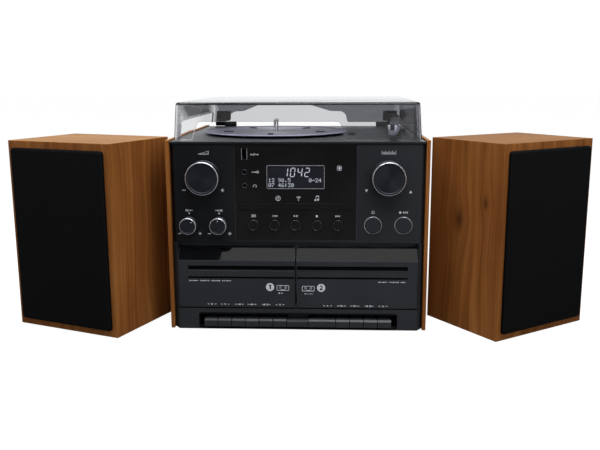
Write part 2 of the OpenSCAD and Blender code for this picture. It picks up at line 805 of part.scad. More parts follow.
// Mains inlet, audio sockets, aerial socket and wire terminals
module rear_sockets() color("#26282b") {
    unit() {
        translate([inlet_x, 0, inlet_z]) {
            difference() {
                slab(-inlet_w/2, inlet_w/2, rear_y - inlet_back, case_d + fit_gap, -inlet_h/2, inlet_h/2);
                upright(case_d - inlet_depth, case_d + 1) inlet_outline();
            }
            for (s = set_sides) translate([s*inlet_lobe_x, 0, 0])
                rod_y(inlet_pin_r, case_d - inlet_depth - 1, case_d - shell_t);
        }
        for (p = rca_places) translate([p[0], 0, p[1]]) difference() {
            union() {
                rod_y(rca_r, rear_y - 1, case_d + rca_out);
                socket_block(rca_r + socket_rim);
            }
            rod_y(rca_bore_r, rear_y - socket_bore, case_d + rca_out + 1);
        }
        translate([aerial_x, 0, aerial_z]) difference() {
            union() {
                rod_y(aerial_r, rear_y - 1, case_d + aerial_out);
                socket_block(aerial_r + socket_rim);
            }
            rod_y(aerial_bore_r, rear_y - socket_bore, case_d + aerial_out + 1);
        }
        translate([clips_x, rear_y, clips_z]) wire_clips(2);
    }
    for (side = set_sides) speaker(side)
        translate([0, spk_d - spk_t, spk_z0 + clips_spk_z]) wire_clips(1);
}

module socket_block(half) slab(-half, half, rear_y - socket_back, rear_y - fit_gap, -half, half);

// Spring clips for bare wires in a plate: rows of two, facing the back
module wire_clips(rows) {
    w = clips_w - 2*fit_gap;
    h = rows*clips_h/2 - 2*fit_gap;
    slab(-w/2, w/2, fit_gap - clip_back, shell_t + 1, -h/2, h/2);
    for (s = set_sides, r = [0:rows - 1]) translate([s*w/4, 0, (r - (rows - 1)/2)*clips_h/2])
        difference() {
            slab(-w/8, w/8, shell_t, shell_t + clip_out, -clips_h/8, clips_h/8);
            rod_y(clip_bore_r, shell_t + 1, shell_t + clip_out + 1);
        }
}

module inlet_outline() {
    for (s = set_sides) translate([s*inlet_lobe_x, 0]) circle(inlet_lobe_r);
    square(2*[inlet_lobe_x, inlet_lobe_r], center = true);
}

// Frame, rails, sled and spindle motor of the disc player
module cd_mechanism() color("#44474b") unit() translate([controls_x, 0, 0]) {
    slab(-cd_side_x - cd_side_w/2, cd_side_x + cd_side_w/2, cd_y0, cd_y1, cd_z0 - cd_plate_t, cd_z0);
    for (s = set_sides) translate([s*cd_side_x, 0, 0])
        slab(-cd_side_w/2, cd_side_w/2, cd_y0, cd_y1, cd_z0 - eps, cd_z0 + cd_side_h);
    translate([0, cd_mid_y, cd_z0]) cylinder(r = cd_motor_r, h = tray_low - slide_gap - cd_z0);
    translate([pickup_x, cd_mid_y, cd_z0])
        slab(-pickup_w/2, pickup_w/2, -pickup_d/2, pickup_d/2, -eps, tray_low - slide_gap - cd_z0);
    for (s = set_sides) translate([s*cd_rail_x, 0, 0])
        slab(-cd_rail_w/2, cd_rail_w/2, cd_y0 + cd_rail_in, cd_y1 - cd_rail_in,
            cd_z0 - eps, tray_low - slide_gap);
    for (s = set_sides, y = [cd_y0 + 2*cd_rail_in, cd_y1 - 2*cd_rail_in]) translate([s*cd_side_x, y, 0])
        slab(-cd_side_w/2, cd_side_w/2, -cd_rail_in, cd_rail_in, mech_top_z, cd_z0 - cd_plate_t + eps);
}

// Cassette chassis of both decks, with heads, reel hubs and the keys' pivot rod
module cassette_mechanism() color("#8b8d90") unit() {
    slab(mech_in - in_x, in_x - mech_in, mech_y, mech_y + mech_t, door_z0 + 4, mech_top_z);
    slab(mech_in - in_x, in_x - mech_in, mech_y, cd_y1, mech_top_z - mech_t, mech_top_z);
    for (s = set_sides) translate([s*(in_x - mech_in - mech_side_t/2), 0, 0])
        slab(-mech_side_t/2, mech_side_t/2, mech_y, cd_y1, tray_top + fit_gap, mech_top_z);
    for (s = set_sides) translate([controls_x + s*deck_mid, 0, 0]) {
        for (h = set_sides) translate([h*reel_x, 0, reel_z]) rod_y(reel_r, mech_y - reel_l, mech_y + 1);
        slab(-head_w/2, head_w/2, mech_y - head_l, mech_y + 1, door_z0 + head_z0, door_z0 + head_z0 + head_h);
        translate([0, 0, reel_z]) rod_y(reel_motor_r, mech_y + 1, mech_y + 1 + reel_motor_l);
    }
    translate([0, key_pivot_y, key_pivot_z]) rod_x(key_rod_r, mech_in + 1 - in_x, in_x - mech_in - 1);
}

// Turntable motor under the deck
module turntable_motor() color("#8f9194") unit() translate([motor_x, motor_y, 0]) {
    translate([0, 0, motor_top - motor_h]) cylinder(r = motor_r, h = motor_h);
    for (s = set_sides) translate([s*motor_ear_x, 0, motor_top - motor_ear_t])
        slab(-motor_ear/2, motor_ear/2, -motor_ear/2, motor_ear/2, 0, motor_ear_t);
    translate([0, 0, motor_top - eps]) cylinder(r = motor_boss_r - 0.5, h = motor_ear_t);
    translate([0, 0, motor_top]) cylinder(r = motor_shaft_r, h = belt_z + belt_h + 1 - motor_top);
}

// Pulley on the motor shaft
module motor_pulley() color("#c9b26a") unit() translate([motor_x, motor_y, belt_z]) difference() {
    union() {
        translate([0, 0, -slide_gap]) cylinder(r = pulley_r, h = belt_h + 2*slide_gap);
        for (z = [-slide_gap - pulley_rim_t, belt_h + slide_gap]) translate([0, 0, z])
            cylinder(r = pulley_r + 0.8, h = pulley_rim_t);
    }
    translate([0, 0, -2]) cylinder(r = motor_shaft_r + run_gap, h = belt_h + 4);
}

// Flat belt round the pulley and the platter's ring
module drive_belt() color("#101010") unit() translate([spindle_x, spindle_y, belt_z]) rotate(motor_dir)
    linear_extrude(belt_h) difference() {
        belt_loop(belt_slack + belt_t);
        belt_loop(belt_slack);
    }

// Outline round both wheels at a distance d from them
module belt_loop(d) hull($fn = 2*$fn) {
    circle(belt_ring_r + d);
    translate([motor_off, 0]) circle(pulley_r + d);
}

// Hinge halves on the deck's rear edge, with the pins
module hinge_bases() color("#141414") unit() for (s = set_sides)
    mirror([s < 0 ? 1 : 0, 0, 0]) translate([hinge_x, 0, 0]) {
        slab(-hinge_base_w, -hinge_half, hinge_y - hinge_foot, hinge_y + hinge_r - 1, deck_z, hinge_z);
        translate([0, hinge_y, hinge_z]) rod_x(hinge_r - 1, -hinge_base_w, -hinge_half);
        translate([0, hinge_y, hinge_z]) rod_x(hinge_pin_r, -hinge_half - 1, hinge_end);
    }

// Column of the tonearm, its rest and the block of the lift lever
module tonearm_base() color("#1d1e20") unit() {
    translate([arm_x, arm_y, deck_z]) {
        cylinder(r = arm_base_r, h = arm_base_h);
        cylinder(r = arm_post_r, h = arm_base_h + yoke_floor + 1);
    }
    translate([arm_x, arm_y, 0]) rotate(-arm_yaw) translate([0, -rest_l, 0]) {
        slab(-rest_w/2, rest_w, -rest_w/2, rest_w/2, deck_z, arm_low - slide_gap);
        translate([arm_half(rest_l) + rest_side, 0, 0])
            slab(0, rest_t, -rest_w/2, rest_w/2, deck_z, arm_top - rest_t);
    }
    translate([lift_x, lift_y, 0]) {
        slab(-lift_block, -0.6, -lift_block, lift_block, deck_z, lift_z + 2.5);
        translate([0, 0, lift_z]) rod_x(lift_pin_r, -2, lift_hub_w + 1);
    }
}

// Smoked cover with cut-outs for a record that is wider than the case
module dust_cover() color("#50555b", 0.45) unit() difference() {
    cover_solid(0, cover_top);
    cover_solid(cover_t, cover_top - cover_t);
    upright(cover_y0 - 1, cover_y0 + 12) front_cutout();
    upright(cover_y1 - 12, cover_y1 + 1) rear_cutout();
    profile_x(-cover_half_w - 1, -cover_half_w + 12) side_cutout();
}

// Tapered body of the cover, inset by d, up to height z1
module cover_solid(d, z1) hull() {
    cover_slice(d, cover_z - (d > 0 ? eps : 0));
    cover_slice(d + cover_draft*0.96, z1 - cover_edge);
    cover_slice(d + cover_draft + cover_edge*0.7, z1 - eps);
}

module cover_slice(d, z) translate([0, (cover_y0 + cover_y1)/2, z]) linear_extrude(eps)
    rounded(2*(cover_half_w - d), cover_y1 - cover_y0 - 2*d, cover_corner_r, $fn = hull_fn);

module front_cutout() polygon([[cut_x0, cover_z - 1], [cut_x0 + cut_lean, cover_z + cutout_h - cut_corner],
    [cut_x0 + cut_lean + cut_corner, cover_z + cutout_h], [cut_x1 - cut_lean - cut_corner, cover_z + cutout_h],
    [cut_x1 - cut_lean, cover_z + cutout_h - cut_corner], [cut_x1, cover_z - 1]]);

module side_cutout() polygon([[cut_y0, cover_z - 1], [cut_y0 + cut_lean, side_cut_z - cut_corner],
    [cut_y0 + cut_lean + cut_corner, side_cut_z], [cut_y1 - cut_corner, side_cut_z],
    [cut_y1, side_cut_z - cut_corner], [cut_y1, cover_z - 1]]);

module rear_cutout() {
    polygon([[-cover_half_w - 1, cover_z - 1], [-cover_half_w - 1, cover_z + rear_gap],
        [cover_half_w + 1, cover_z + rear_gap], [cover_half_w + 1, cover_z - 1]]);
    polygon([[cut_x0, cover_z], [cut_x0 + rear_lean, rear_cut_z - rear_corner],
        [cut_x0 + rear_lean + rear_corner, rear_cut_z - 1], [hill_x0 - hill_run, rear_cut_z],
        [hill_x0, hill_z], [hill_x1, hill_z], [hill_x1 + hill_run, rear_cut_z],
        [rear_x1 - rear_lean - rear_corner, rear_cut_z - 1], [rear_x1 - rear_lean, rear_cut_z - rear_corner],
        [rear_x1, cover_z]]);
}

// Hinge halves on the rear wall of the cover
module cover_hinges() color("#141414") unit() for (s = set_sides)
    mirror([s < 0 ? 1 : 0, 0, 0]) translate([hinge_x, 0, 0]) difference() {
        union() {
            for (p = [[-hinge_leaf_w, hinge_r + 0.6], [hinge_split, 0]])
                slab(p[0], hinge_end, cover_y1 + fit_gap, cover_y1 + fit_gap + hinge_leaf_t,
                    hinge_z + p[1], hinge_z + hinge_leaf_h);
            translate([0, hinge_y, hinge_z]) rod_x(hinge_r, hinge_split, hinge_end);
        }
        translate([0, hinge_y, hinge_z]) rod_x(hinge_pin_r + run_gap, hinge_split - 1, hinge_end + 1);
    }

// Platter with a raised rim, conical underside, belt ring and record pads
module platter() color("#b9bcc0") unit() translate([spindle_x, spindle_y, 0]) {
    rotate_extrude() polygon([[journal_r + fit_gap, platter_z - mat_drop],
        [platter_r - platter_lip - 0.6, platter_z - mat_drop], [platter_r - platter_lip, platter_z],
        [platter_r, platter_z], [platter_r, platter_z - platter_rim_t],
        [platter_r - platter_step, platter_z - platter_skirt],
        [platter_r - platter_step - 2, platter_z - platter_skirt],
        [platter_r - platter_step - 2, platter_z - platter_web], [belt_ring_r, platter_z - platter_web],
        [belt_ring_r, belt_z - 1], [belt_ring_r - belt_ring_t, belt_z - 1],
        [belt_ring_r - belt_ring_t, platter_z - platter_web], [platter_hub_r, platter_z - platter_web],
        [platter_hub_r, hub_z], [journal_r + fit_gap, hub_z]]);
    for (i = [0:pad_count - 1]) rotate(pad_angle + i*360/pad_count)
        translate([pad_at_r, 0, platter_z - mat_drop - eps])
            linear_extrude(pad_h) rounded(pad_l, pad_w, pad_w/2 - 0.1);
}

// Record spindle, held in the deck's bearing and turning with the platter
module spindle() color("#d8dadc") unit() translate([spindle_x, spindle_y, 0]) rotate_extrude() polygon([
    [0, hub_z - journal_l], [journal_r, hub_z - journal_l], [journal_r, pin_z], [spindle_r, pin_z],
    [spindle_r, platter_z + spindle_h - 3],
    [spindle_r - 0.6, platter_z + spindle_h - 1.2], [spindle_r*0.45, platter_z + spindle_h - 0.2],
    [0, platter_z + spindle_h]]);

// Turning yoke of the tonearm, with two ears and the lift pin
module tonearm_yoke() color("#17181a") unit() translate([arm_x, arm_y, yoke_z]) rotate(-arm_yaw) {
    difference() {
        cylinder(r = arm_base_r, h = yoke_floor);
        translate([0, 0, -1]) cylinder(r = arm_post_r + run_gap, h = yoke_floor + 2);
    }
    for (s = set_sides) translate([s*(yoke_in + yoke_ear/2), 0, 0])
        slab(-yoke_ear/2, yoke_ear/2, -yoke_d/2, yoke_d/2, yoke_floor - 1, arm_top + yoke_up - yoke_z);
    translate([0, 0, arm_pin_z - yoke_z]) rod_x(arm_pin_r, -yoke_in - 1, yoke_in + 1);
}

// Half width of the tonearm at a distance from its pivot
function arm_half(l) = arm_w/2 + (arm_rear_w - arm_w)/2*(1 - l/arm_l);

// Tonearm with its pivot block and short rear end
module tonearm() color("#202124") unit() translate([arm_x, arm_y, 0]) rotate(-arm_yaw) difference() {
    union() {
        linear_extrude_between(arm_low, arm_top) for (s = set_sides) polygon([
            [0, 1 - arm_block], [0, -arm_l], [s*arm_half(arm_l), -arm_l],
            [s*arm_half(yoke_d), 1 - arm_block]]);
        slab(slide_gap - yoke_in, yoke_in - slide_gap, -arm_block, yoke_d/2, arm_low + 1, arm_top + 1);
        slab(-arm_tail_w/2, arm_tail_w/2, yoke_d/2 - 1, yoke_d/2 + arm_tail_l,
            arm_low + 2, arm_top + yoke_up);
    }
    translate([0, 0, arm_pin_z]) rod_x(arm_pin_r + run_gap, -yoke_in, yoke_in);
}

// Pale cartridge with its stylus guard under the headshell
module cartridge() color("#d9dbe2") unit() translate([arm_x, arm_y, 0]) rotate(-arm_yaw)
    translate([0, -arm_l + 1, 0]) {
        slab(-cart_w/2, cart_w/2, 0, cart_l, cart_z, arm_low);
        for (s = set_sides) translate([s*(guard_w - guard_prong_w)/2, 0, 0]) slab(-guard_prong_w/2,
            guard_prong_w/2, -guard_out, -1 - fit_gap, cart_z + guard_h - 1, arm_top - 1);
        slab(-guard_w/2, guard_w/2, -guard_out, guard_l - guard_out, cart_z, cart_z + guard_h);
    }

// Small lever that raises the tonearm
module lift_lever() color("#101112") unit() translate([lift_x, lift_y, lift_z]) difference() {
    union() {
        rod_x(lift_hub_r, 0, lift_hub_w);
        translate([(lift_hub_w - lift_arm_w)/2, -lift_arm_l, -1]) cube([lift_arm_w, lift_arm_l, lift_arm_t]);
    }
    rod_x(lift_pin_r + run_gap, -1, lift_hub_w + 1);
}

// Slider that selects the turntable's speed
module speed_lever() color("#101112") unit() translate([speed_x, speed_y, 0]) {
    slab(-speed_stem/2, speed_stem/2, -speed_stem/2, speed_stem/2, deck_under - 1, deck_z + 1);
    translate([0, 0, deck_z + slide_gap]) {
        slab(-speed_head_w/2, speed_head_w/2, -speed_head_d/2, speed_head_d/2, 0, speed_head_t);
        slab(-speed_head_w/2, speed_head_w/2, -speed_rib_w/2, speed_rib_w/2, 1, speed_head_t + speed_rib_h);
    }
}

// Big knob: skirt, body with a dished face and a shaft to the board
module big_knob(x) color("#26282b") unit() translate([controls_x + x, 0, knob_z]) rotate([90, 0, 0])
    translate([0, 0, -fascia_in]) rotate_extrude() polygon([
        [0, -(board_in - slide_gap)], [shaft_r, -(board_in - slide_gap)], [shaft_r, knob_face_gap],
        [knob_r + 1, knob_face_gap], [knob_r + 1, skirt_h], [knob_r, skirt_h + 0.8], [knob_r, knob_out - 1],
        [knob_r - 1, knob_out], [knob_r - rim_w, knob_out], [knob_r - rim_w - 0.6, knob_out - 0.6],
        [0, knob_out - 0.9]]);

// Tone knob: slim body with a ring round its face and a shaft to the board
module tone_knob(x) color("#26282b") unit() translate([controls_x + x, 0, small_z]) rotate([90, 0, 0])
    translate([0, 0, -fascia_in]) rotate_extrude() polygon([
        [0, -(board_in - slide_gap)], [shaft_r, -(board_in - slide_gap)], [shaft_r, knob_face_gap],
        [tone_r, knob_face_gap], [tone_r, skirt_h], [tone_r - 0.7, skirt_h + 0.6],
        [tone_r - 0.7, tone_out - 0.6], [tone_r - 1.3, tone_out], [tone_r - tone_rim_w, tone_out],
        [tone_r - tone_rim_w - 0.4, tone_out - 0.5], [0, tone_out - 0.5]]);

module knob_volume() big_knob(-knob_x);
module knob_tuning() big_knob(knob_x);
module knob_bass() tone_knob(-outer_x);
module knob_treble() tone_knob(-inner_x);

// Round push button with a flange behind the panel and a stem towards the board
module push_button(x, r, back) color("#2b2d30") unit() translate([controls_x + x, 0, small_z])
    rotate([90, 0, 0]) translate([0, 0, -fascia_in]) rotate_extrude() polygon([
        [0, -(board_in - button_travel - slide_gap)], [button_stem_r, -(board_in - button_travel - slide_gap)],
        [button_stem_r, -back - slide_gap - flange_t], [r + flange_w, -back - slide_gap - flange_t],
        [r + flange_w, -back - slide_gap], [r, -back - slide_gap],
        [r, button_out - 0.7], [r - 0.7, button_out], [0, button_out + 0.2]]);

module button_power() push_button(inner_x, round_r, fascia_t);
module button_record() push_button(outer_x, round_r, fascia_t);
module button_menu() push_button(-2*button_pitch, button_r, window_t);
module button_previous() push_button(-button_pitch, button_r, window_t);
module button_play() push_button(0, button_r, window_t);
module button_stop() push_button(button_pitch, button_r, window_t);
module button_next() push_button(2*button_pitch, button_r, window_t);

// Disc tray: front strip and plate with a round recess and a slot for the pick-up
module cd_tray() color("#17181a") unit() translate([controls_x, 0, 0]) {
    slab(-tray_w/2, tray_w/2, fascia_in - 0.4, fascia_in + window_t - fit_gap,
        tray_z - tray_h/2, tray_z + tray_h/2);
    difference() {
        slab(-tray_w/2 + 2, tray_w/2 - 2, fascia_in + 1, fascia_in + tray_d,
            tray_low, tray_low + tray_plate_t);
        translate([0, cd_mid_y, tray_low + disc_step]) cylinder(r = disc_r, h = tray_plate_t);
        translate([0, cd_mid_y, tray_low + disc_step*0.6]) cylinder(r = hub_rim_r, h = tray_plate_t);
        translate([0, cd_mid_y, tray_low - 1]) cylinder(r = hub_r, h = tray_plate_t);
        slab(pickup_x - pickup_w*0.78, 0, cd_mid_y - pickup_d/2, cd_mid_y + pickup_d/2,
            tray_low - 1, tray_low + 2*tray_plate_t);
    }
}

// Cassette door: bent shell with a sloping top, side walls, shelf and cassette guides
module cassette_door(side) unit() translate([controls_x, 0, 0]) mirror([side < 0 ? 1 : 0, 0, 0]) {
    x0 = door_gap/2;
    x1 = in_x - cheek_w - slide_gap - side*controls_x;
    mid = deck_mid;
    difference() {
        union() {
            profile_x(x0, x1) polygon([[-door_out, door_z0], [-door_out, door_bend_z],
                [door_top_y, door_z1], [door_top_y + door_t, door_z1 - 1],
                [door_t - door_out, door_bend_z - 1], [door_t - door_out, door_z0]]);
            for (x = [x0, x1 - door_side_t]) profile_x(x, x + door_side_t) polygon([[-door_out, door_z0],
                [-door_out, door_bend_z], [door_top_y, door_z1], [door_top_y + door_side_t, door_z1 - 1],
                [door_top_y + door_side_t, door_z0 + 6], [door_hinge_y + door_side_t, door_z0]]);
            translate([0, door_hinge_y, door_hinge_z]) rod_x(door_boss_r, x0, x1);
            slab(mid - cassette_w/2 - 2, mid + cassette_w/2 + 2, door_hinge_y, pocket_y1,
                shelf_z - door_side_t, shelf_z);
            for (s = set_sides) translate([mid + s*(cassette_w/2 + 0.5 + guide_t/2), 0, 0])
                profile_x(-guide_t/2, guide_t/2) polygon([[0, shelf_z - 1], [0, min(door_bend_z, pocket_z1 - 1)],
                    [pocket_lean, pocket_z1], [pocket_y1, pocket_z1], [pocket_y1, shelf_z - 1]]);
            for (s = set_sides) translate([mid + s*(cassette_w/2 + 2 - clip_w/2), 0, 0])
                slab(-clip_w/2, clip_w/2, pocket_y1 - clip_t, pocket_y1, shelf_z - 1, pocket_z1 - 20);
        }
        for (x = [x0 - 1, x1 - door_pin_l - 0.5]) translate([0, door_hinge_y, door_hinge_z])
            rod_x(door_pin_r + run_gap, x, x + door_pin_l + 1.5);
        slab(x0 - 1, x1 - groove_end, -door_out - 1, groove_d - door_out, groove_z0, groove_z1);
        slab(x0 - 1, x1 - groove_end, -door_out - 1, line_d - door_out, line_z0, line_z1);
    }
    slab(x0, x1 - groove_end, -door_out - band_t, eps - door_out, line_z1 + band_t, groove_z0 - band_t);
}

module cassette_door_left() color("#27292c") cassette_door(-1);
module cassette_door_right() color("#27292c") cassette_door(1);

// Piano key of a cassette deck: front block and a lever to the pivot rod
module piano_key(x0, x1) color("#1d1f21") unit() difference() {
    union() {
        profile_x(x0 + key_gap/2, x1 - key_gap/2) polygon([[-key_out, key_z0],
            [-key_out, key_z0 + key_h - key_slope_h], [key_slope_d - key_out, key_z0 + key_h],
            [key_head_y - 2, key_z0 + key_h], [key_head_y, key_arm_z + key_arm_t], [key_head_y, key_arm_z],
            [key_head_y/2, key_arm_z], [key_head_y/2 - 1, key_z0]]);
        translate([(x0 + x1)/2, 0, 0]) {
            slab(-key_arm_w/2, key_arm_w/2, key_head_y - 1, key_pivot_y, key_arm_z, key_arm_z + key_arm_t);
            translate([0, key_pivot_y, key_pivot_z]) rod_x(key_boss_r, -key_arm_w/2, key_arm_w/2);
        }
    }
    translate([(x0 + x1)/2, key_pivot_y, key_pivot_z])
        rod_x(key_rod_r + run_gap, -key_arm_w/2 - 1, key_arm_w/2 + 1);
}

// Keys are counted from the left of each deck; the first one on the right is twice as wide
module left_key(i) piano_key(-key_row_w/2 + i*key_pitch, -key_row_w/2 + (i + 1)*key_pitch);
module right_key(i) piano_key(key_row_w/2 - (i == 0 ? 6 : 5 - i)*key_pitch, key_row_w/2 - (4 - i)*key_pitch);

// Speaker frame: middle of its front edge on the floor, turned as it stands
module speaker(side) unit() translate([side < 0 ? left_x : right_x, side < 0 ? left_y : right_y, 0])
    rotate(side < 0 ? left_yaw : right_yaw) children();

// Wooden speaker cabinet, hollow, with holes for the drivers and the terminal plate
module speaker_cabinet(side) color("#7a4a22") speaker(side) difference() {
    slab(-spk_w/2, spk_w/2, 0, spk_d, spk_z0, spk_h);
    slab(spk_t - spk_w/2, spk_w/2 - spk_t, spk_t, spk_d - spk_t, spk_z0 + spk_t, spk_h - spk_t);
    translate([0, 0, spk_z0 + woofer_z]) rod_y(woofer_r - basket_r + 1, -1, spk_t + 1);
    translate([0, 0, spk_z0 + tweeter_z]) rod_y(tweeter_r - basket_r + 1, -1, spk_t + 1);
    translate([0, 0, spk_z0 + woofer_z]) rod_y(woofer_r + fit_gap, -1, driver_t);
    translate([0, 0, spk_z0 + tweeter_z]) rod_y(tweeter_r + fit_gap, -1, driver_t);
    translate([0, 0, spk_z0 + clips_spk_z])
        slab(-clips_w/2, clips_w/2, spk_d - spk_t - 1, spk_d + 1, -clips_h/4, clips_h/4);
}

// Cloth grille on its frame: closed front, hollow behind
module grille(side) color("#0b0b0c") speaker(side) translate([0, 0, (spk_z0 + spk_h)/2]) difference() {
    upright(-grille_t, -fit_gap) rounded(grille_w, grille_h, grille_r);
    upright(grille_face - grille_t, 1) rounded(grille_w - 2*grille_rail, grille_h - 2*grille_rail, grille_r);
}

// Woofer and tweeter of each speaker: frame ring, cone and magnet
module speaker_drivers() color("#1c1c1d") for (side = set_sides) speaker(side) {
    translate([0, 0, spk_z0 + woofer_z]) driver(woofer_r, woofer_depth, woofer_magnet);
    translate([0, 0, spk_z0 + tweeter_z]) driver(tweeter_r, tweeter_depth, tweeter_magnet);
}

module driver(r, depth, magnet) rotate([90, 0, 0]) rotate_extrude() polygon([
    [0, -depth - magnet], [r*0.55, -depth - magnet], [r*0.55, -depth], [r - basket_r, -driver_t - spk_t],
    [r - basket_r, eps - driver_t], [r, eps - driver_t], [r, -fit_gap], [r - basket_r + 1, -fit_gap],
    [r - cone_edge, -1.5], [r*0.3, 2 - depth], [0, 4 - depth]]);

base_tray();
side_panels();
rear_panel();
turntable_deck();
control_fascia();
display_window();
lcd_module();
front_sockets();
cassette_frame();
rubber_feet();
case_screws();
circuit_boards();
transformer();
rear_sockets();
cd_mechanism();
cassette_mechanism();
turntable_motor();
motor_pulley();
drive_belt();
hinge_bases();
tonearm_base();
dust_cover();
cover_hinges();
platter();
spindle();
tonearm_yoke();
tonearm();
cartridge();
lift_lever();
speed_lever();
knob_volume();
knob_tuning();
knob_bass();
knob_treble();
button_power();
button_record();
button_menu();
button_previous();
button_play();
button_stop();
button_next();
cd_tray();
cassette_door_left();
cassette_door_right();
left_key(0);  // key_left_1
left_key(1);  // key_left_2
left_key(2);  // key_left_3
left_key(3);  // key_left_4
left_key(4);  // key_left_5
left_key(5);  // key_left_6
right_key(0);  // key_right_1
right_key(1);  // key_right_2
right_key(2);  // key_right_3
right_key(3);  // key_right_4
right_key(4);  // key_right_5
speaker_cabinet(-1);  // speaker_cabinet_left
speaker_cabinet(1);  // speaker_cabinet_right
grille(-1);  // grille_left
grille(1);  // grille_right
speaker_drivers();
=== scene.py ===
"""Looks of the stereo music centre: finishes, printed marks, bright rings, smoked cover and grille cloth.

Lengths named in millimetres are measured in the main unit's own frame: X to the right of its middle, Y to the
back from the front of its side panels and Z up from the surface that it stands on.
"""
import math

import bmesh
import bpy
from mathutils import Matrix, Vector


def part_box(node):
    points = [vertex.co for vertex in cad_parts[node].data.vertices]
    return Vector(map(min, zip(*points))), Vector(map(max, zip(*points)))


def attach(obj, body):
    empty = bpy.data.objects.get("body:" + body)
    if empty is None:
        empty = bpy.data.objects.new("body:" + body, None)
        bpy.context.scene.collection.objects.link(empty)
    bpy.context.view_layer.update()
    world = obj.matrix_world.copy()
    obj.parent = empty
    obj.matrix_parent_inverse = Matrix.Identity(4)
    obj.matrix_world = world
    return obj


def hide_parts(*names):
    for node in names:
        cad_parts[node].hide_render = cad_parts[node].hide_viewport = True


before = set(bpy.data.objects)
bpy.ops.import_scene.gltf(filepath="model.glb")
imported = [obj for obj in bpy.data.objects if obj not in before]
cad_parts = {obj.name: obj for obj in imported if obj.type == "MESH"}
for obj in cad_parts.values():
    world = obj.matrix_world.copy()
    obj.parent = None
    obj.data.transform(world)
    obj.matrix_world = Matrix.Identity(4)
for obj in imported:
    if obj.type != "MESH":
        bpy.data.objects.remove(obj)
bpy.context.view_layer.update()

MM = 0.001
CASE_LOW, CASE_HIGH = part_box("side_panels")
UNIT = Vector(((CASE_LOW.x + CASE_HIGH.x) / 2, CASE_LOW.y, 0))

# Places of the controls, as in the construction
CONTROLS_X = -2
FASCIA_Y = 4
DOOR_Y, DOOR_BEND_Z, DOOR_TOP_Y, DOOR_TOP_Z = -2, 97.5, 10, 114
GROOVE_DEPTH, GROOVE_Z, LINE_DEPTH, LINE_Z, BAND_OUT = 1.8, (84.8, 90.6), 1.2, (72.8, 75.2), 0.6
KNOB_X, KNOB_Z, KNOB_R, KNOB_OUT = 123, 210.5, 22, 17
TONE_X, ROUND_X, SMALL_Z = (-144, -103.5), (103.5, 144), 146.2
TONE_R, TONE_OUT, ROUND_R, ROUND_HOLE = 11.2, 15, 10.5, 10.9
SMALL_R, SMALL_PITCH, BUTTON_OUT = 7.1, 28.4, 2.4
LCD_W, LCD_H, LCD_Z = 76.5, 31, 211
SOCKET_X = -68
PLATTER_Z = 263
PLATTER_R, SPINDLE = 106, (-38.7, 154.3)

# Head of the tonearm: middle of its front face, its turn, and its width and top
HEAD_FRONT, HEAD_TURN, HEAD_W, HEAD_TOP = (126.4, 25.6), 19.4, 13.4, 278.8

# Stands of the speakers: turn of each about its upright axis, in degrees
SPEAKER_TURN = {"left": -21.7, "right": 34.2}
SPEAKER_W, SPEAKER_D, SPEAKER_H = 167.5, 134, 259


def at(x, y, z):
    """Point of the main unit's frame, from millimetres to the scene's metres."""
    return UNIT + Vector((x, y, z)) * MM


def srgb(code):
    """Colour as the screen shows it, such as a8743c, as the linear values that shaders take."""
    parts = [int(code[i : i + 2], 16) / 255 for i in (0, 2, 4)]
    linear = [p / 12.92 if p <= 0.04045 else ((p + 0.055) / 1.055) ** 2.4 for p in parts]
    return (*linear, 1.0)


# Camera and light


def make_camera():
    """The photograph's viewpoint: in front of the set, a little above its cover and turned slightly left."""
    data = bpy.data.cameras.new("camera")
    data.sensor_width = 36
    data.lens = 44.6
    camera = bpy.data.objects.new("camera", data)
    bpy.context.scene.collection.objects.link(camera)
    view = Vector((-0.0435, 0.9801, -0.1936))
    roll = math.radians(-0.2)
    camera.location = at(47.2, -975.6, 339.8)
    turn = view.to_track_quat("-Z", "Y").to_matrix().to_4x4() @ Matrix.Rotation(roll, 4, "Z")
    camera.rotation_euler = turn.to_euler()
    bpy.context.scene.camera = camera


def area_lamp(name, place, target, width, height, watts, tilt=0.0, shift=0.0):
    """Rectangular lamp that faces its target; shift moves it sideways in its own plane."""
    data = bpy.data.lights.new(name, "AREA")
    data.shape = "RECTANGLE"
    data.size, data.size_y, data.energy = width, height, watts
    lamp = bpy.data.objects.new(name, data)
    bpy.context.scene.collection.objects.link(lamp)
    aim = (Vector(target) - Vector(place)).to_track_quat("-Z", "Y").to_matrix().to_4x4()
    aim = aim @ Matrix.Rotation(math.radians(tilt), 4, "Z")
    lamp.location = Vector(place) + aim @ Vector((shift, 0, 0))
    lamp.rotation_euler = aim.to_euler()
    return lamp


def ray_share(tree, *kinds):
    """Value of 1 for the named kinds of ray and 0 for all others."""
    path = tree.nodes.new("ShaderNodeLightPath")
    share = path.outputs[kinds[0]]
    for kind in kinds[1:]:
        either = tree.nodes.new("ShaderNodeMath")
        either.operation = "MAXIMUM"
        tree.links.new(share, either.inputs[0])
        tree.links.new(path.outputs[kind], either.inputs[1])
        share = either.outputs[0]
    return share


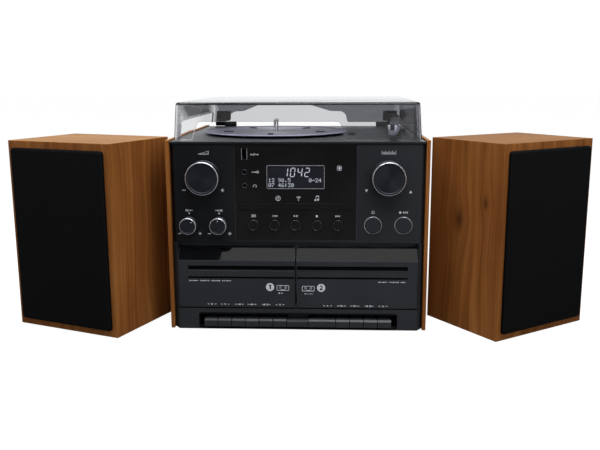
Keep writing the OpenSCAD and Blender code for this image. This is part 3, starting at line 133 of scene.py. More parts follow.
def make_world(ambient):
    """White for what is seen directly or through the object, a plain grey light on it, and for mirroring
    surfaces a backdrop that is white behind the set and dim in front of it."""
    world = bpy.data.worlds.new("studio")
    bpy.context.scene.world = world
    world.use_nodes = True
    tree = world.node_tree
    tree.nodes.clear()
    out = tree.nodes.new("ShaderNodeOutputWorld")
    mix = tree.nodes.new("ShaderNodeMixShader")
    lit, seen = tree.nodes.new("ShaderNodeBackground"), tree.nodes.new("ShaderNodeBackground")
    lit.inputs["Color"].default_value = (0.96, 0.98, 1.0, 1.0)
    seen.inputs["Color"].default_value = (1.0, 1.0, 1.0, 1.0)
    coords, split = tree.nodes.new("ShaderNodeTexCoord"), tree.nodes.new("ShaderNodeSeparateXYZ")
    behind, share = tree.nodes.new("ShaderNodeMapRange"), tree.nodes.new("ShaderNodeMapRange")
    tree.links.new(coords.outputs["Generated"], split.inputs[0])
    tree.links.new(split.outputs["Y"], behind.inputs["Value"])
    for socket, value in (("From Min", 0.15), ("From Max", 0.75), ("To Min", ambient * 0.55), ("To Max", 1.0)):
        behind.inputs[socket].default_value = value
    tree.links.new(ray_share(tree, "Is Glossy Ray"), share.inputs["Value"])
    share.inputs["To Min"].default_value = ambient
    tree.links.new(behind.outputs[0], share.inputs["To Max"])
    tree.links.new(share.outputs[0], lit.inputs["Strength"])
    tree.links.new(ray_share(tree, "Is Camera Ray", "Is Transmission Ray"), mix.inputs[0])
    tree.links.new(lit.outputs[0], mix.inputs[1])
    tree.links.new(seen.outputs[0], mix.inputs[2])
    tree.links.new(mix.outputs[0], out.inputs[0])


def make_floor(shade_kept, bounce, glow_level):
    """Pale floor that keeps a soft shadow and throws little light back on the object."""
    mesh = bpy.data.meshes.new("floor")
    reach = 14
    mesh.from_pydata([(-reach, -reach, 0), (reach, -reach, 0), (reach, reach, 0), (-reach, reach, 0)], [],
                     [(0, 1, 2, 3)])
    floor = bpy.data.objects.new("floor", mesh)
    floor.location.z = -0.0002
    bpy.context.scene.collection.objects.link(floor)
    mat = bpy.data.materials.new("floor")
    mat.use_nodes = True
    tree = mat.node_tree
    tree.nodes.clear()
    out = tree.nodes.new("ShaderNodeOutputMaterial")
    by_ray, seen = tree.nodes.new("ShaderNodeMixShader"), tree.nodes.new("ShaderNodeMixShader")
    grey, white = tree.nodes.new("ShaderNodeBsdfDiffuse"), tree.nodes.new("ShaderNodeBsdfDiffuse")
    glow = tree.nodes.new("ShaderNodeEmission")
    glow.inputs["Strength"].default_value = glow_level
    grey.inputs["Color"].default_value = (bounce, bounce, bounce, 1)
    white.inputs["Color"].default_value = (0.95, 0.95, 0.95, 1)
    seen.inputs[0].default_value = shade_kept
    tree.links.new(glow.outputs[0], seen.inputs[1])
    tree.links.new(white.outputs[0], seen.inputs[2])
    tree.links.new(ray_share(tree, "Is Camera Ray", "Is Transmission Ray"), by_ray.inputs[0])
    tree.links.new(grey.outputs[0], by_ray.inputs[1])
    tree.links.new(seen.outputs[0], by_ray.inputs[2])
    tree.links.new(by_ray.outputs[0], out.inputs[0])
    mesh.materials.append(mat)


# Materials


class Surface:
    """A node material round one Principled shader, with short names for the nodes that the finishes share."""

    def __init__(self, name, **fixed):
        self.mat = bpy.data.materials.new(name)
        self.mat.use_nodes = True
        self.tree = self.mat.node_tree
        self.shader = self.tree.nodes["Principled BSDF"]
        self.coords = self.tree.nodes.new("ShaderNodeTexCoord")
        self.place = self.coords.outputs["Object"]
        for key, value in fixed.items():
            self.set(key.replace("_", " "), value)

    def set(self, socket, value):
        """Sets a socket of the shader, by a value or by another node's output."""
        target = next(i for i in self.shader.inputs if i.name.lower() == socket.lower())
        if isinstance(value, bpy.types.NodeSocket):
            self.tree.links.new(value, target)
        else:
            target.default_value = value

    def add(self, kind, inputs=(), output=0, **settings):
        """Adds a node and gives its output: inputs are (socket, value or output) pairs."""
        node = self.tree.nodes.new("ShaderNode" + kind)
        for key, value in settings.items():
            setattr(node, key, value)
        for key, value in inputs:
            if isinstance(value, bpy.types.NodeSocket):
                self.tree.links.new(value, node.inputs[key])
            else:
                node.inputs[key].default_value = value
        return node.outputs[output]

    def spread(self, vector, scale=(1, 1, 1)):
        return self.add("Mapping", [("Vector", vector), ("Scale", scale)])

    def noise(self, vector, scale, detail=4.0, rough=0.55, bend=0.0):
        return self.add("TexNoise", [("Vector", vector), ("Scale", scale), ("Detail", detail),
                                     ("Roughness", rough), ("Distortion", bend)])

    def fit(self, value, low, high, new_low=0.0, new_high=1.0):
        """Maps a stretch of values to another, held at its ends."""
        return self.add("MapRange", [(0, value), (1, low), (2, high), (3, new_low), (4, new_high)])

    def math(self, operation, a, b=0.0):
        return self.add("Math", [(0, a), (1, b)], operation=operation)

    def ramp(self, value, *stops):
        """Colour that follows a value: stops are (position, screen colour) pairs."""
        node = self.tree.nodes.new("ShaderNodeValToRGB")
        points = node.color_ramp.elements
        while len(points) < len(stops):
            points.new(1.0)
        for point, (position, code) in zip(points, stops):
            point.position, point.color = position, srgb(code)
        self.tree.links.new(value, node.inputs[0])
        return node.outputs[0]

    def mix(self, share, a, b, blend="MIX"):
        node = self.tree.nodes.new("ShaderNodeMix")
        node.data_type, node.blend_type = "RGBA", blend
        for index, value in ((0, share), (6, a), (7, b)):
            if isinstance(value, bpy.types.NodeSocket):
                self.tree.links.new(value, node.inputs[index])
            else:
                node.inputs[index].default_value = value
        return node.outputs[2]

    def bump(self, height, depth, strength=1.0, under=None):
        """Raises the surface by a height of up to depth millimetres."""
        pairs = [("Height", height), ("Distance", depth * MM), ("Strength", strength)]
        if under is not None:
            pairs.append(("Normal", under))
        return self.add("Bump", pairs)


def moulded(name, dark, light, roughness=0.45, shine=0.3, texture=0.02, grain=1600, front=None, sweep=None):
    """Moulded plastic: a fine spark-eroded texture, faint clouds in its colour and uneven gloss.

    It can take another colour where it faces the front, or pass into one between two places along an axis; that passage
    along an axis serves painted light and painted shade as well as real two-tone colour.
    """
    s = Surface(name, specular_ior_level=shine)
    clouds = s.noise(s.place, 9, 3)
    fine = s.noise(s.place, grain, 2)
    base = s.ramp(s.math("ADD", s.math("MULTIPLY", clouds, 0.7), s.math("MULTIPLY", fine, 0.3)),
                  (0.3, dark), (0.7, light))
    if sweep:
        axis, start, end, code = sweep
        base = s.mix(s.fit(s.add("SeparateXYZ", [(0, s.place)], output=axis), start, end), base, srgb(code))
    if front:
        facing = s.add("SeparateXYZ", [(0, s.coords.outputs["Normal"])], output=1)
        base = s.mix(s.fit(facing, -0.8, -0.5, 1.0, 0.0), base, srgb(front))
    s.set("Base Color", base)
    s.set("Roughness", s.fit(s.noise(s.place, 60, 4), 0.3, 0.7, roughness - 0.05, roughness + 0.07))
    s.set("Normal", s.bump(fine, texture))
    return s.mat


def polished(name, dark, light, roughness=0.12, shine=0.35):
    """Glossy moulded plastic with faint wiping marks and a trace of moulding waviness."""
    s = Surface(name, specular_ior_level=shine)
    wipes = s.noise(s.spread(s.place, (30, 30, 260)), 1, 5, 0.7, 0.6)
    s.set("Base Color", s.ramp(s.noise(s.place, 14, 2), (0.35, dark), (0.65, light)))
    s.set("Roughness", s.fit(wipes, 0.4, 0.75, roughness, roughness + 0.08))
    s.set("Normal", s.bump(s.noise(s.place, 25, 1), 0.02))
    return s.mat


def glazed(name, dark, light, shine):
    """Mirror-smooth dark plastic that shows the lamps as sharp shapes."""
    s = Surface(name, specular_ior_level=shine)
    s.set("Base Color", s.ramp(s.noise(s.place, 14, 2), (0.35, dark), (0.65, light)))
    s.set("Roughness", s.fit(s.noise(s.spread(s.place, (30, 30, 260)), 1, 5, 0.7, 0.6), 0.4, 0.75, 0.01, 0.05))
    return s.mat


def slip_mat(name, centre):
    """Platter: a brushed lilac-grey mat, a bright line round the top of its outer edge that is partly a painted
    highlight, and a near-black side below it that is partly painted shade.
    """
    s = Surface(name, metallic=0.45, anisotropic=0.6)
    flat = s.add("VectorMath", [(0, s.place), (1, centre)], operation="SUBTRACT")
    level = s.add("VectorMath", [(0, flat), (1, (1, 1, 0))], operation="MULTIPLY")
    radius = s.add("VectorMath", [(0, level)], output=1, operation="LENGTH")
    rings = s.add("TexNoise", [("W", s.math("MULTIPLY", radius, 900)), ("Scale", 1.0), ("Detail", 3.0)],
                  noise_dimensions="1D")
    mat_tone = s.ramp(rings, (0.3, "52515d"), (0.7, "6d6c7b"))
    height = s.add("SeparateXYZ", [(0, flat)], output=2)
    # Partly painted highlight along the top of the outer edge, and partly painted shade on its near-black side.
    rim_light_and_shade = s.mix(s.fit(height, -0.0019, -0.0015), srgb("05050b"), srgb("b6b6d2"))
    s.set("Base Color", s.mix(s.fit(radius, (PLATTER_R - 0.6) * MM, (PLATTER_R - 0.4) * MM), mat_tone, rim_light_and_shade))
    s.set("Roughness", s.fit(rings, 0.3, 0.7, 0.3, 0.42))
    s.set("Normal", s.bump(rings, 0.02))
    s.set("Tangent", s.add("Tangent", direction_type="RADIAL", axis="Z"))
    return s.mat


def metal(name, dark, light, roughness=0.3, lines=(40, 40, 900), texture=0.01, shade=1.0):
    """Metal with fine drawn or turned lines along its short side."""
    s = Surface(name, metallic=shade)
    streaks = s.noise(s.spread(s.place, lines), 1, 4, 0.6)
    s.set("Base Color", s.ramp(streaks, (0.3, dark), (0.7, light)))
    s.set("Roughness", s.fit(streaks, 0.3, 0.7, roughness * 0.8, roughness * 1.25))
    s.set("Normal", s.bump(streaks, texture))
    return s.mat


def chrome(name, light="f2f3f5", roughness=0.16):
    s = Surface(name, metallic=1.0)
    spots = s.noise(s.place, 220, 3)
    s.set("Base Color", s.ramp(spots, (0.3, "c9ccd2"), (0.7, light)))
    s.set("Roughness", s.fit(spots, 0.3, 0.7, roughness, roughness + 0.06))
    return s.mat


def spun(name, dark, light, roughness=0.34, shade=0.85):
    """Turned face of a knob: fine rings about its middle, which spread highlights into fans."""
    s = Surface(name, metallic=shade, anisotropic=0.75)
    middle = s.add("VectorMath", [(0, s.coords.outputs["Generated"]), (1, (0.5, 0.5, 0.5))], operation="SUBTRACT")
    flat = s.add("VectorMath", [(0, middle), (1, (1, 0, 1))], operation="MULTIPLY")
    radius = s.add("VectorMath", [(0, flat)], output=1, operation="LENGTH")
    rings = s.add("TexNoise", [("W", s.math("MULTIPLY", radius, 160)), ("Scale", 1.0), ("Detail", 3.0)],
                  noise_dimensions="1D")
    s.set("Base Color", s.ramp(rings, (0.3, dark), (0.7, light)))
    s.set("Roughness", s.fit(rings, 0.3, 0.7, roughness - 0.04, roughness + 0.06))
    s.set("Normal", s.bump(rings, 0.015))
    s.set("Tangent", s.add("Tangent", direction_type="RADIAL", axis="Y"))
    return s.mat


def ink(name, colour, glow=0.0):
    """Screen printing ink, slightly uneven, or the lit segments of a display."""
    s = Surface(name, roughness=0.5, specular_ior_level=0.3)
    tone = s.noise(s.place, 900, 2)
    s.set("Base Color", s.mix(s.fit(tone, 0.3, 0.7, 0.0, 0.25), srgb(colour), srgb("9a9ca0")))
    if glow:
        s.set("Emission Color", srgb(colour))
        s.set("Emission Strength", glow)
    return s.mat


def rubber(name):
    s = Surface(name, specular_ior_level=0.25)
    dust = s.noise(s.place, 420, 5, 0.7)
    s.set("Base Color", s.ramp(dust, (0.35, "0e0e0f"), (0.75, "1c1c1e")))
    s.set("Roughness", s.fit(dust, 0.3, 0.7, 0.7, 0.9))
    s.set("Normal", s.bump(dust, 0.03))
    return s.mat


def bare(name, code, roughness=0.6):
    """Plain moulded or lacquered inner piece with mottled colour."""
    s = Surface(name, specular_ior_level=0.35)
    spots = s.noise(s.place, 150, 5, 0.65)
    s.set("Base Color", s.mix(s.fit(spots, 0.35, 0.7, 0.0, 0.3), srgb(code), (0.02, 0.02, 0.02, 1)))
    s.set("Roughness", s.fit(spots, 0.3, 0.7, roughness - 0.1, roughness + 0.1))
    return s.mat


def board(name):
    """Solder mask over copper tracks, with pale printed spots."""
    s = Surface(name, specular_ior_level=0.45, roughness=0.35)
    cells = s.add("TexVoronoi", [("Vector", s.spread(s.place, (1, 1, 1))), ("Scale", 170.0)],
                  distance="MANHATTAN", feature="F1")
    tracks = s.fit(cells, 0.28, 0.3, 0.0, 1.0)
    s.set("Base Color", s.mix(tracks, srgb("0f3d24"), srgb("1c5c36")))
    s.set("Normal", s.bump(tracks, 0.04))
    return s.mat


class Wood(Surface):
    """Walnut-coloured veneer: upright grain on the sides, and grain across the top, with optional knots; the top faces
    take lighter colours than the sides, partly as painted light.
    """

    # Colours of the top faces, lighter than those of the sides: partly painted light, since the tops face the overhead
    # lamps.
    TOP = ((0.34, "7a4c20"), (0.5, "9b6a35"), (0.62, "b07e45"), (0.7, "bd8b4f"))
    TOP_DEEP = ((0.34, "5f370e"), (0.5, "805017"), (0.62, "946222"), (0.7, "a16f2a"))

    def __init__(self, name, centre, turn, knots=(), seed=0.0, top=TOP):
        super().__init__(name)
        self.top = top
        self.set("Specular IOR Level", 0.08)
        local = self.add("Mapping", [("Vector", self.place), ("Location", centre),
                                     ("Rotation", (0, 0, math.radians(turn)))], vector_type="TEXTURE")
        x, y, z = (self.add("SeparateXYZ", [(0, local)], output=i) for i in range(3))
        facing = self.add("SeparateXYZ", [(0, self.coords.outputs["Normal"])], output=2)
        is_top = self.math("GREATER_THAN", self.math("ABSOLUTE", facing), 0.7)
        across = self.pick(is_top, self.math("ADD", x, y), y)
        along = self.pick(is_top, z, x)
        across, shade = self.bend_round(across, along, knots)
        self.paint(across, along, shade, seed, is_top)

    def pick(self, share, a, b):
        return self.add("Mix", [(0, share), (2, a), (3, b)], data_type="FLOAT")

    def plane(self, across, along, wide, long):
        return self.add("CombineXYZ", [(0, self.math("MULTIPLY", across, wide)),
                                       (1, self.math("MULTIPLY", along, long))])

    def bend_round(self, across, along, knots):
        """Bends the grain round each knot and gives the knots' dark middles."""
        shade = 0.0
        for (knot_u, knot_v, size) in knots:
            du = self.math("DIVIDE", self.math("SUBTRACT", across, knot_u), size)
            dv = self.math("DIVIDE", self.math("SUBTRACT", along, knot_v), size * 1.9)
            far = self.math("ADD", self.math("MULTIPLY", du, du), self.math("MULTIPLY", dv, dv))
            near = self.math("POWER", math.e, self.math("MULTIPLY", far, -0.35))
            push = self.math("MULTIPLY", self.math("MULTIPLY", du, near), size * 0.9)
            across = self.math("SUBTRACT", across, push)
            shade = self.math("ADD", shade, self.math("POWER", math.e, self.math("MULTIPLY", far, -2.2)))
        return across, shade

    def paint(self, across, along, shade, seed, is_top):
        moved = self.math("ADD", across, seed)
        sway = self.noise(self.plane(moved, along, 10, 3.2), 1, 2)
        swayed = self.math("ADD", moved, self.math("MULTIPLY", sway, 0.045))
        rings = self.noise(self.plane(swayed, along, 120, 1.6), 1, 3, 0.6)
        stripes = self.noise(self.plane(swayed, along, 420, 4), 1, 4, 0.7)
        fibres = self.noise(self.plane(moved, along, 1500, 26), 1, 3, 0.6)
        clouds = self.noise(self.plane(moved, along, 16, 5), 1, 3, 0.5)
        pores = self.fit(self.noise(self.plane(moved, along, 1900, 60), 1, 2), 0.6, 0.72)
        tone = self.math("ADD", self.math("MULTIPLY", rings, 0.45), self.math("MULTIPLY", stripes, 0.22))
        tone = self.math("ADD", tone, self.math("MULTIPLY", fibres, 0.1))
        tone = self.math("ADD", tone, self.math("MULTIPLY", clouds, 0.3))
        side = self.ramp(tone, (0.34, "4a260d"), (0.47, "7c4a22"), (0.56, "8f592b"), (0.68, "a56d3a"))
        # Partly painted light: the top faces take the lighter top colours.
        base = self.mix(is_top, side, self.ramp(tone, *self.top))
        base = self.mix(self.math("MULTIPLY", pores, 0.4), base, srgb("472711"))
        base = self.mix(self.math("MINIMUM", self.math("MULTIPLY", shade, 0.7), 0.8), base, srgb("2c150a"))
        self.set("Base Color", base)
        self.set("Roughness", self.fit(fibres, 0.3, 0.7, 0.42, 0.56))
        relief = self.math("SUBTRACT", self.math("MULTIPLY", stripes, 0.5), pores)
        self.set("Normal", self.bump(relief, 0.025))


def smoked(name, front_y, rear_y, front="cfd0d2", rear="797a80"):
    """Smoked clear acrylic: clear for sight, and open to the lamps, so that what is inside stays lit.

    The left wall is painted pale and given a faint painted glow, the left end of the front is painted paler as painted
    light, and its ends and upper edge are painted darker as painted shade.
    """
    s = Surface(name, transmission_weight=1.0, ior=1.49, roughness=0.0)
    side, depth, height = (s.add("SeparateXYZ", [(0, s.place)], output=i) for i in range(3))
    tint = s.mix(s.fit(depth, front_y, rear_y), srgb(front), srgb(rear))
    film = s.add("BsdfTransparent", [("Color", s.mix(0.5, tint, (1, 1, 1, 1)))])
    across = s.math("ABSOLUTE", s.add("SeparateXYZ", [(0, s.coords.outputs["Normal"])], output=0))
    # Painted light on the left wall: a pale tint and, further down, a faint painted glow.
    painted_glow_left_wall = s.math("MULTIPLY", s.fit(across, 0.6, 0.8), s.math("LESS_THAN", side, 0.0))
    in_front = s.math("LESS_THAN", depth, at(0, 13, 0).y)
    # Painted light: the left end of the front is tinted paler.
    painted_light_left_end = s.math("MULTIPLY", in_front, s.fit(side, at(-136, 0, 0).x, at(-122, 0, 0).x, 1.0, 0.0))
    tint = s.mix(painted_light_left_end, tint, srgb("e6e7e8"))
    # Painted shade: both ends of the cover are tinted darker.
    for start, end, code in ((-153, -156, "b6b7bc"), (152, 155, "96979c")):
        tint = s.mix(s.fit(side, at(start, 0, 0).x, at(end, 0, 0).x), tint, srgb(code))
    tint = s.mix(painted_glow_left_wall, tint, srgb("f2f3f4"))
    # Painted shade: a near-black band along the upper edge of the front.
    painted_shade_upper_edge = s.math("MULTIPLY", in_front, s.fit(height, at(0, 0, 304.8).z, at(0, 0, 306.4).z))
    s.set("Base Color", s.mix(painted_shade_upper_edge, tint, srgb("101018")))
    # Painted glow: the left wall gives off a faint light, though it is no lamp.
    s.set("Emission Color", s.mix(painted_glow_left_wall, (0, 0, 0, 1), (1, 1, 1, 1)))
    s.set("Emission Strength", 0.018)
    out = s.tree.nodes["Material Output"]
    both = s.tree.nodes.new("ShaderNodeMixShader")
    s.tree.links.new(ray_share(s.tree, "Is Shadow Ray"), both.inputs[0])
    s.tree.links.new(s.shader.outputs[0], both.inputs[1])
    s.tree.links.new(film, both.inputs[2])
    s.tree.links.new(both.outputs[0], out.inputs["Surface"])
    return s.mat


def cloth(name, centre, turn):
    """Black speaker cloth: crossed threads a millimetre apart."""
    s = Surface(name, roughness=0.8, specular_ior_level=0.08)
    local = s.add("Mapping", [("Vector", s.place), ("Location", centre), ("Rotation", (0, 0, math.radians(turn)))],
                  vector_type="TEXTURE")
    threads = []
    for direction in ("X", "Z"):
        threads.append(s.add("TexWave", [("Vector", local), ("Scale", 260.0), ("Distortion", 1.2),
                                         ("Detail", 1.0), ("Detail Scale", 3.0)],
                             output=1, wave_type="BANDS", bands_direction=direction))
    weave = s.math("MULTIPLY", threads[0], threads[1])
    s.set("Base Color", s.ramp(s.math("ADD", weave, s.math("MULTIPLY", s.noise(local, 500, 3), 0.3)),
                               (0.1, "060607"), (0.95, "161719")))
    s.set("Normal", s.bump(weave, 0.12))
    return s.mat


# Shapes


def new_object(name, mesh, body, mat, replaces=()):
    """A finished piece: on its body, with its finish and the construction's nodes that it stands for."""
    piece = bpy.data.objects.new(name, mesh)
    bpy.context.scene.collection.objects.link(piece)
    mesh.materials.clear()
    mesh.materials.append(mat)
    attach(piece, body)
    if replaces:
        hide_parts(*replaces)
    return piece


def finish_mesh(name, bm, smooth_angle=35.0):
    bmesh.ops.recalc_face_normals(bm, faces=bm.faces)
    mesh = bpy.data.meshes.new(name)
    bm.to_mesh(mesh)
    bm.free()
    mesh.shade_smooth()
    mesh.set_sharp_from_angle(angle=math.radians(smooth_angle))
    return mesh


def lathe(name, x, z, profile, body, mat, steps=96):
    """Turned piece about an axis along Y: the profile is a closed outline of (radius, y) pairs."""
    bm = bmesh.new()
    rings = []
    for i in range(steps):
        a = 2 * math.pi * i / steps
        rings.append([bm.verts.new(at(x + r * math.cos(a), y, z + r * math.sin(a))) for r, y in profile])
    for i, ring in enumerate(rings):
        after = rings[(i + 1) % steps]
        for k in range(len(profile)):
            n = (k + 1) % len(profile)
            bm.faces.new((ring[k], ring[n], after[n], after[k]))
    return new_object(name, finish_mesh(name, bm), body, mat)


def round_bead(radius, y, width, height, steps=8):
    """Closed outline of a rounded ring: width along the radius and height towards the front."""
    arc = [math.pi * i / steps for i in range(steps + 1)]
    return [(radius + width / 2 * math.cos(a), y - height * math.sin(a)) for a in arc]


class Print:
    """Thin raised marks in one ink on a front face: outlines in X and Z, in millimetres."""

    def __init__(self, y, thick=0.06):
        self.bm = bmesh.new()
        self.front, self.back = y - thick, y + 0.02

    def outline(self, points, hole=()):
        """A filled outline, or a band between two outlines with as many points."""
        rows = [[self.bm.verts.new(at(x, y, z)) for x, z in row]
                for row in (points, hole) if row for y in (self.front, self.back)]
        count = len(points)
        pairs = [(rows[0], rows[1])] if not hole else [(rows[0], rows[1]), (rows[3], rows[2]), (rows[2], rows[0])]
        if not hole:
            self.bm.faces.new(rows[0])
            self.bm.faces.new(list(reversed(rows[1])))
        else:
            pairs.append((rows[1], rows[3]))
        for one, other in pairs:
            for i in range(count):
                n = (i + 1) % count
                self.bm.faces.new((one[i], one[n], other[n], other[i]))

    def disc(self, x, z, r, steps=28):
        self.outline(arc_points(x, z, r, 0, 360, steps)[:-1])

    def ring(self, x, z, r, width, steps=40):
        self.outline(arc_points(x, z, r, 0, 360, steps)[:-1], arc_points(x, z, r - width, 0, 360, steps)[:-1])

    def arc(self, x, z, r, start, end, width, steps=14):
        outer, inner = arc_points(x, z, r, start, end, steps), arc_points(x, z, r - width, start, end, steps)
        self.outline(outer + inner[::-1])

    def box(self, x, z, w, h):
        self.outline([(x - w / 2, z - h / 2), (x + w / 2, z - h / 2), (x + w / 2, z + h / 2), (x - w / 2, z + h / 2)])

    def frame(self, x, z, w, h, width, corner):
        self.outline(round_box(x, z, w, h, corner), round_box(x, z, w - 2 * width, h - 2 * width, corner - width))

    def line(self, x0, z0, x1, z1, width):
        run = Vector((x1 - x0, z1 - z0)).normalized() * width / 2
        self.outline([(x0 - run.y, z0 + run.x), (x0 + run.y, z0 - run.x), (x1 + run.y, z1 - run.x),
                      (x1 - run.y, z1 + run.x)])

    def triangle(self, x, z, size, degrees):
        """Equal-sided arrowhead that points along a direction, 0 being to the right."""
        self.outline([(x + size * math.cos(math.radians(degrees + a)), z + size * math.sin(math.radians(degrees + a)))
                      for a in (0, 125, 235)])

    def piece(self, name, body, slot, mat):
        return new_object(name, finish_mesh(name, self.bm, 20), body, mat)


def arc_points(x, z, r, start, end, steps):
    angles = [math.radians(start + (end - start) * i / steps) for i in range(steps + 1)]
    return [(x + r * math.cos(a), z + r * math.sin(a)) for a in angles]


def round_box(x, z, w, h, corner, steps=5):
    """Outline of a box with round corners about its middle."""
    points = []
    for sx, sz, start in ((1, 1, 0), (-1, 1, 90), (-1, -1, 180), (1, -1, 270)):
        points += arc_points(x + sx * (w / 2 - corner), z + sz * (h / 2 - corner), corner, start, start + 90, steps)
    return points


SEGMENTS = {"0": "abcdef", "1": "bc", "2": "abged", "3": "abgcd", "4": "fgbc", "5": "afgcd", "6": "afgedc",
            "7": "abc", "8": "abcdefg", "9": "abcdfg"}


def seven_segment(marks, digit, x, z, w, h, stroke, lean=0.0):
    """One digit of a display, with its lower left corner at x, z."""
    corner = {"a": ((0, 2), (1, 2)), "b": ((1, 2), (1, 1)), "c": ((1, 1), (1, 0)), "d": ((0, 0), (1, 0)),
              "e": ((0, 1), (0, 0)), "f": ((0, 2), (0, 1)), "g": ((0, 1), (1, 1))}
    for name in SEGMENTS[digit]:
        ends = []
        for (u, v) in corner[name]:
            ends.append(Vector((x + u * w + lean * v * h / 2, z + v * h / 2)))
        gap = (ends[1] - ends[0]).normalized() * stroke * 0.6
        marks.line(*(ends[0] + gap), *(ends[1] - gap), stroke)


DOT_DIGITS = {"0": (14, 17, 19, 21, 25, 17, 14), "1": (4, 12, 4, 4, 4, 4, 14), "2": (14, 17, 1, 2, 4, 8, 31),
              "3": (31, 2, 4, 2, 1, 17, 14), "4": (2, 6, 10, 18, 31, 2, 2), "5": (31, 16, 30, 1, 1, 17, 14),
              "6": (6, 8, 16, 30, 17, 17, 14), "7": (31, 1, 2, 4, 8, 8, 8), "8": (14, 17, 17, 14, 17, 17, 14),
              "9": (14, 17, 17, 15, 1, 2, 12), ".": (0, 0, 0, 0, 0, 12, 12), " ": (0,) * 7,
              "-": (0, 0, 0, 31, 0, 0, 0), ":": (0, 12, 12, 0, 12, 12, 0)}


def dot_row(marks, text, x, z, pitch):
    """Row of five by seven dot digits, with its lower left corner at x, z."""
    for place, character in enumerate(text):
        for row, bits in enumerate(DOT_DIGITS[character]):
            for column in range(5):
                if bits & (16 >> column):
                    marks.box(x + (place * 6 + column) * pitch, z + (6 - row) * pitch, pitch * 0.86, pitch * 0.86)


def soften(node, width, segments=2, angle=32.0):
    """Rounds a construction node's edges as a mould or a cutter leaves them, without changing its mesh."""
    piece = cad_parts[node]
    weld = piece.modifiers.new("weld", "WELD")
    weld.merge_threshold = 1e-6
    plain = piece.modifiers.new("plain", "DECIMATE")
    plain.decimate_type, plain.angle_limit = "DISSOLVE", math.radians(0.6)
    bevel = piece.modifiers.new("edges", "BEVEL")
    bevel.width, bevel.segments = width * MM, segments
    bevel.limit_method, bevel.angle_limit = "ANGLE", math.radians(angle)
    bevel.miter_outer = "MITER_ARC"
    even = piece.modifiers.new("even", "WEIGHTED_NORMAL")
    even.keep_sharp = False
    piece.data.shade_smooth()


def dress(node, mat, edge=None):
    """Gives a construction node its finish and, where it shows, its rounded edges."""
    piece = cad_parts[node]
    piece.data.materials.clear()
    piece.data.materials.append(mat)
    if edge:
        soften(node, edge)


# Pieces of the main unit


def fascia_rings(silver, grey):
    """Bright rings of the knobs and of the round buttons."""
    front = FASCIA_Y - KNOB_OUT
    for side, name in ((-1, "volume"), (1, "tuning")):
        x = CONTROLS_X + side * KNOB_X
        ring = [(KNOB_R + 0.1, front + 1.6), (KNOB_R + 0.1, front + 0.75), (KNOB_R - 0.65, front - 0.08),
                (KNOB_R - 0.9, front - 0.08), (KNOB_R - 0.9, front + 1.6)]
        lathe(f"ring_{name}", x, KNOB_Z, ring, f"knob_{name}", silver)
    for x, name in zip(TONE_X, ("bass", "treble")):
        y = FASCIA_Y - TONE_OUT
        outer = TONE_R + 0.1
        sleeve = [(outer, y + 3.6), (outer, y + 0.7), (outer - 0.65, y - 0.08), (outer - 0.9, y - 0.08),
                  (outer - 0.9, y + 1.4), (outer - 0.3, y + 1.6), (outer - 0.3, y + 3.6)]
        lathe(f"sleeve_{name}", CONTROLS_X + x, SMALL_Z, sleeve, f"knob_{name}", silver)
    for x, name in zip(ROUND_X, ("power", "record")):
        lathe(f"bezel_{name}", CONTROLS_X + x, SMALL_Z, round_bead(ROUND_HOLE + 0.5, FASCIA_Y, 0.95, 0.8),
              "root", silver)
    for i, name in enumerate(("menu", "previous", "play", "stop", "next")):
        lathe(f"bezel_{name}", CONTROLS_X + (i - 2) * SMALL_PITCH, SMALL_Z,
              round_bead(SMALL_R - 0.35, FASCIA_Y - BUTTON_OUT + 0.35, 0.5, 0.35), f"button_{name}",
              grey)
    for z in (217.6, 199.6):
        lathe(f"collar_{int(z)}", CONTROLS_X + SOCKET_X, z, round_bead(3.3, FASCIA_Y - 0.45, 0.5, 0.35),
              "root", grey)


def fascia_marks(white):
    """Signs round the knobs and above the buttons on the right."""
    marks = Print(FASCIA_Y)
    for x, w, h in ((-151.9, 4.6, 1.2), (-100, 4.6, 1.2), (-100, 1.2, 4.6)):
        marks.box(x, 193.1, w, h)
    marks.triangle(92.2, 193.4, 2.4, 270)
    marks.triangle(150.6, 191.4, 2.4, 90)
    for x in (-159.8, -119.3):
        marks.box(x, 133.7, 4.2, 1.2)
        marks.box(x + 28, 133.9, 4.2, 1.1)
        marks.box(x + 28, 133.9, 1.1, 4.2)
    for x in TONE_X:
        marks.triangle(CONTROLS_X + x, 161.6, 1.7, 270)
    bass, treble = (CONTROLS_X + x for x in TONE_X)
    for i in range(5):
        marks.box(bass - 4 + i * 2, 165.6, 1.1, 3.0 - i * 0.45)
        marks.box(treble - 4 + i * 2, 165.6, 1.1, 1.2 + i * 0.45)
    volume = CONTROLS_X - KNOB_X
    marks.outline([(volume - 7.5, 241.2), (volume + 7.5, 241.2), (volume + 7.5, 245.8)],
                  [(volume - 4.2, 241.9), (volume + 6.8, 241.9), (volume + 6.8, 245.2)])
    tuning = CONTROLS_X + KNOB_X
    for i in range(13):
        tall = i % 3 == 0
        marks.box(tuning - 9 + i * 1.5, 243.5 + (0.6 if tall else 0), 0.5, 4.2 if tall else 2.4)
    marks.line(tuning - 9.4, 241.8, tuning + 9.4, 241.8, 0.4)
    power, record = (CONTROLS_X + x for x in ROUND_X)
    marks.arc(power, 163.8, 2.1, -240, 60, 0.6)
    marks.box(power, 165.2, 0.6, 2.4)
    marks.disc(record - 4.6, 163.9, 1.6)
    for i in range(3):
        marks.box(record + i * 2.4, 163.9, 1.5, 2.4)
    marks.piece("marks_fascia", "root", "pale_plastic", white)


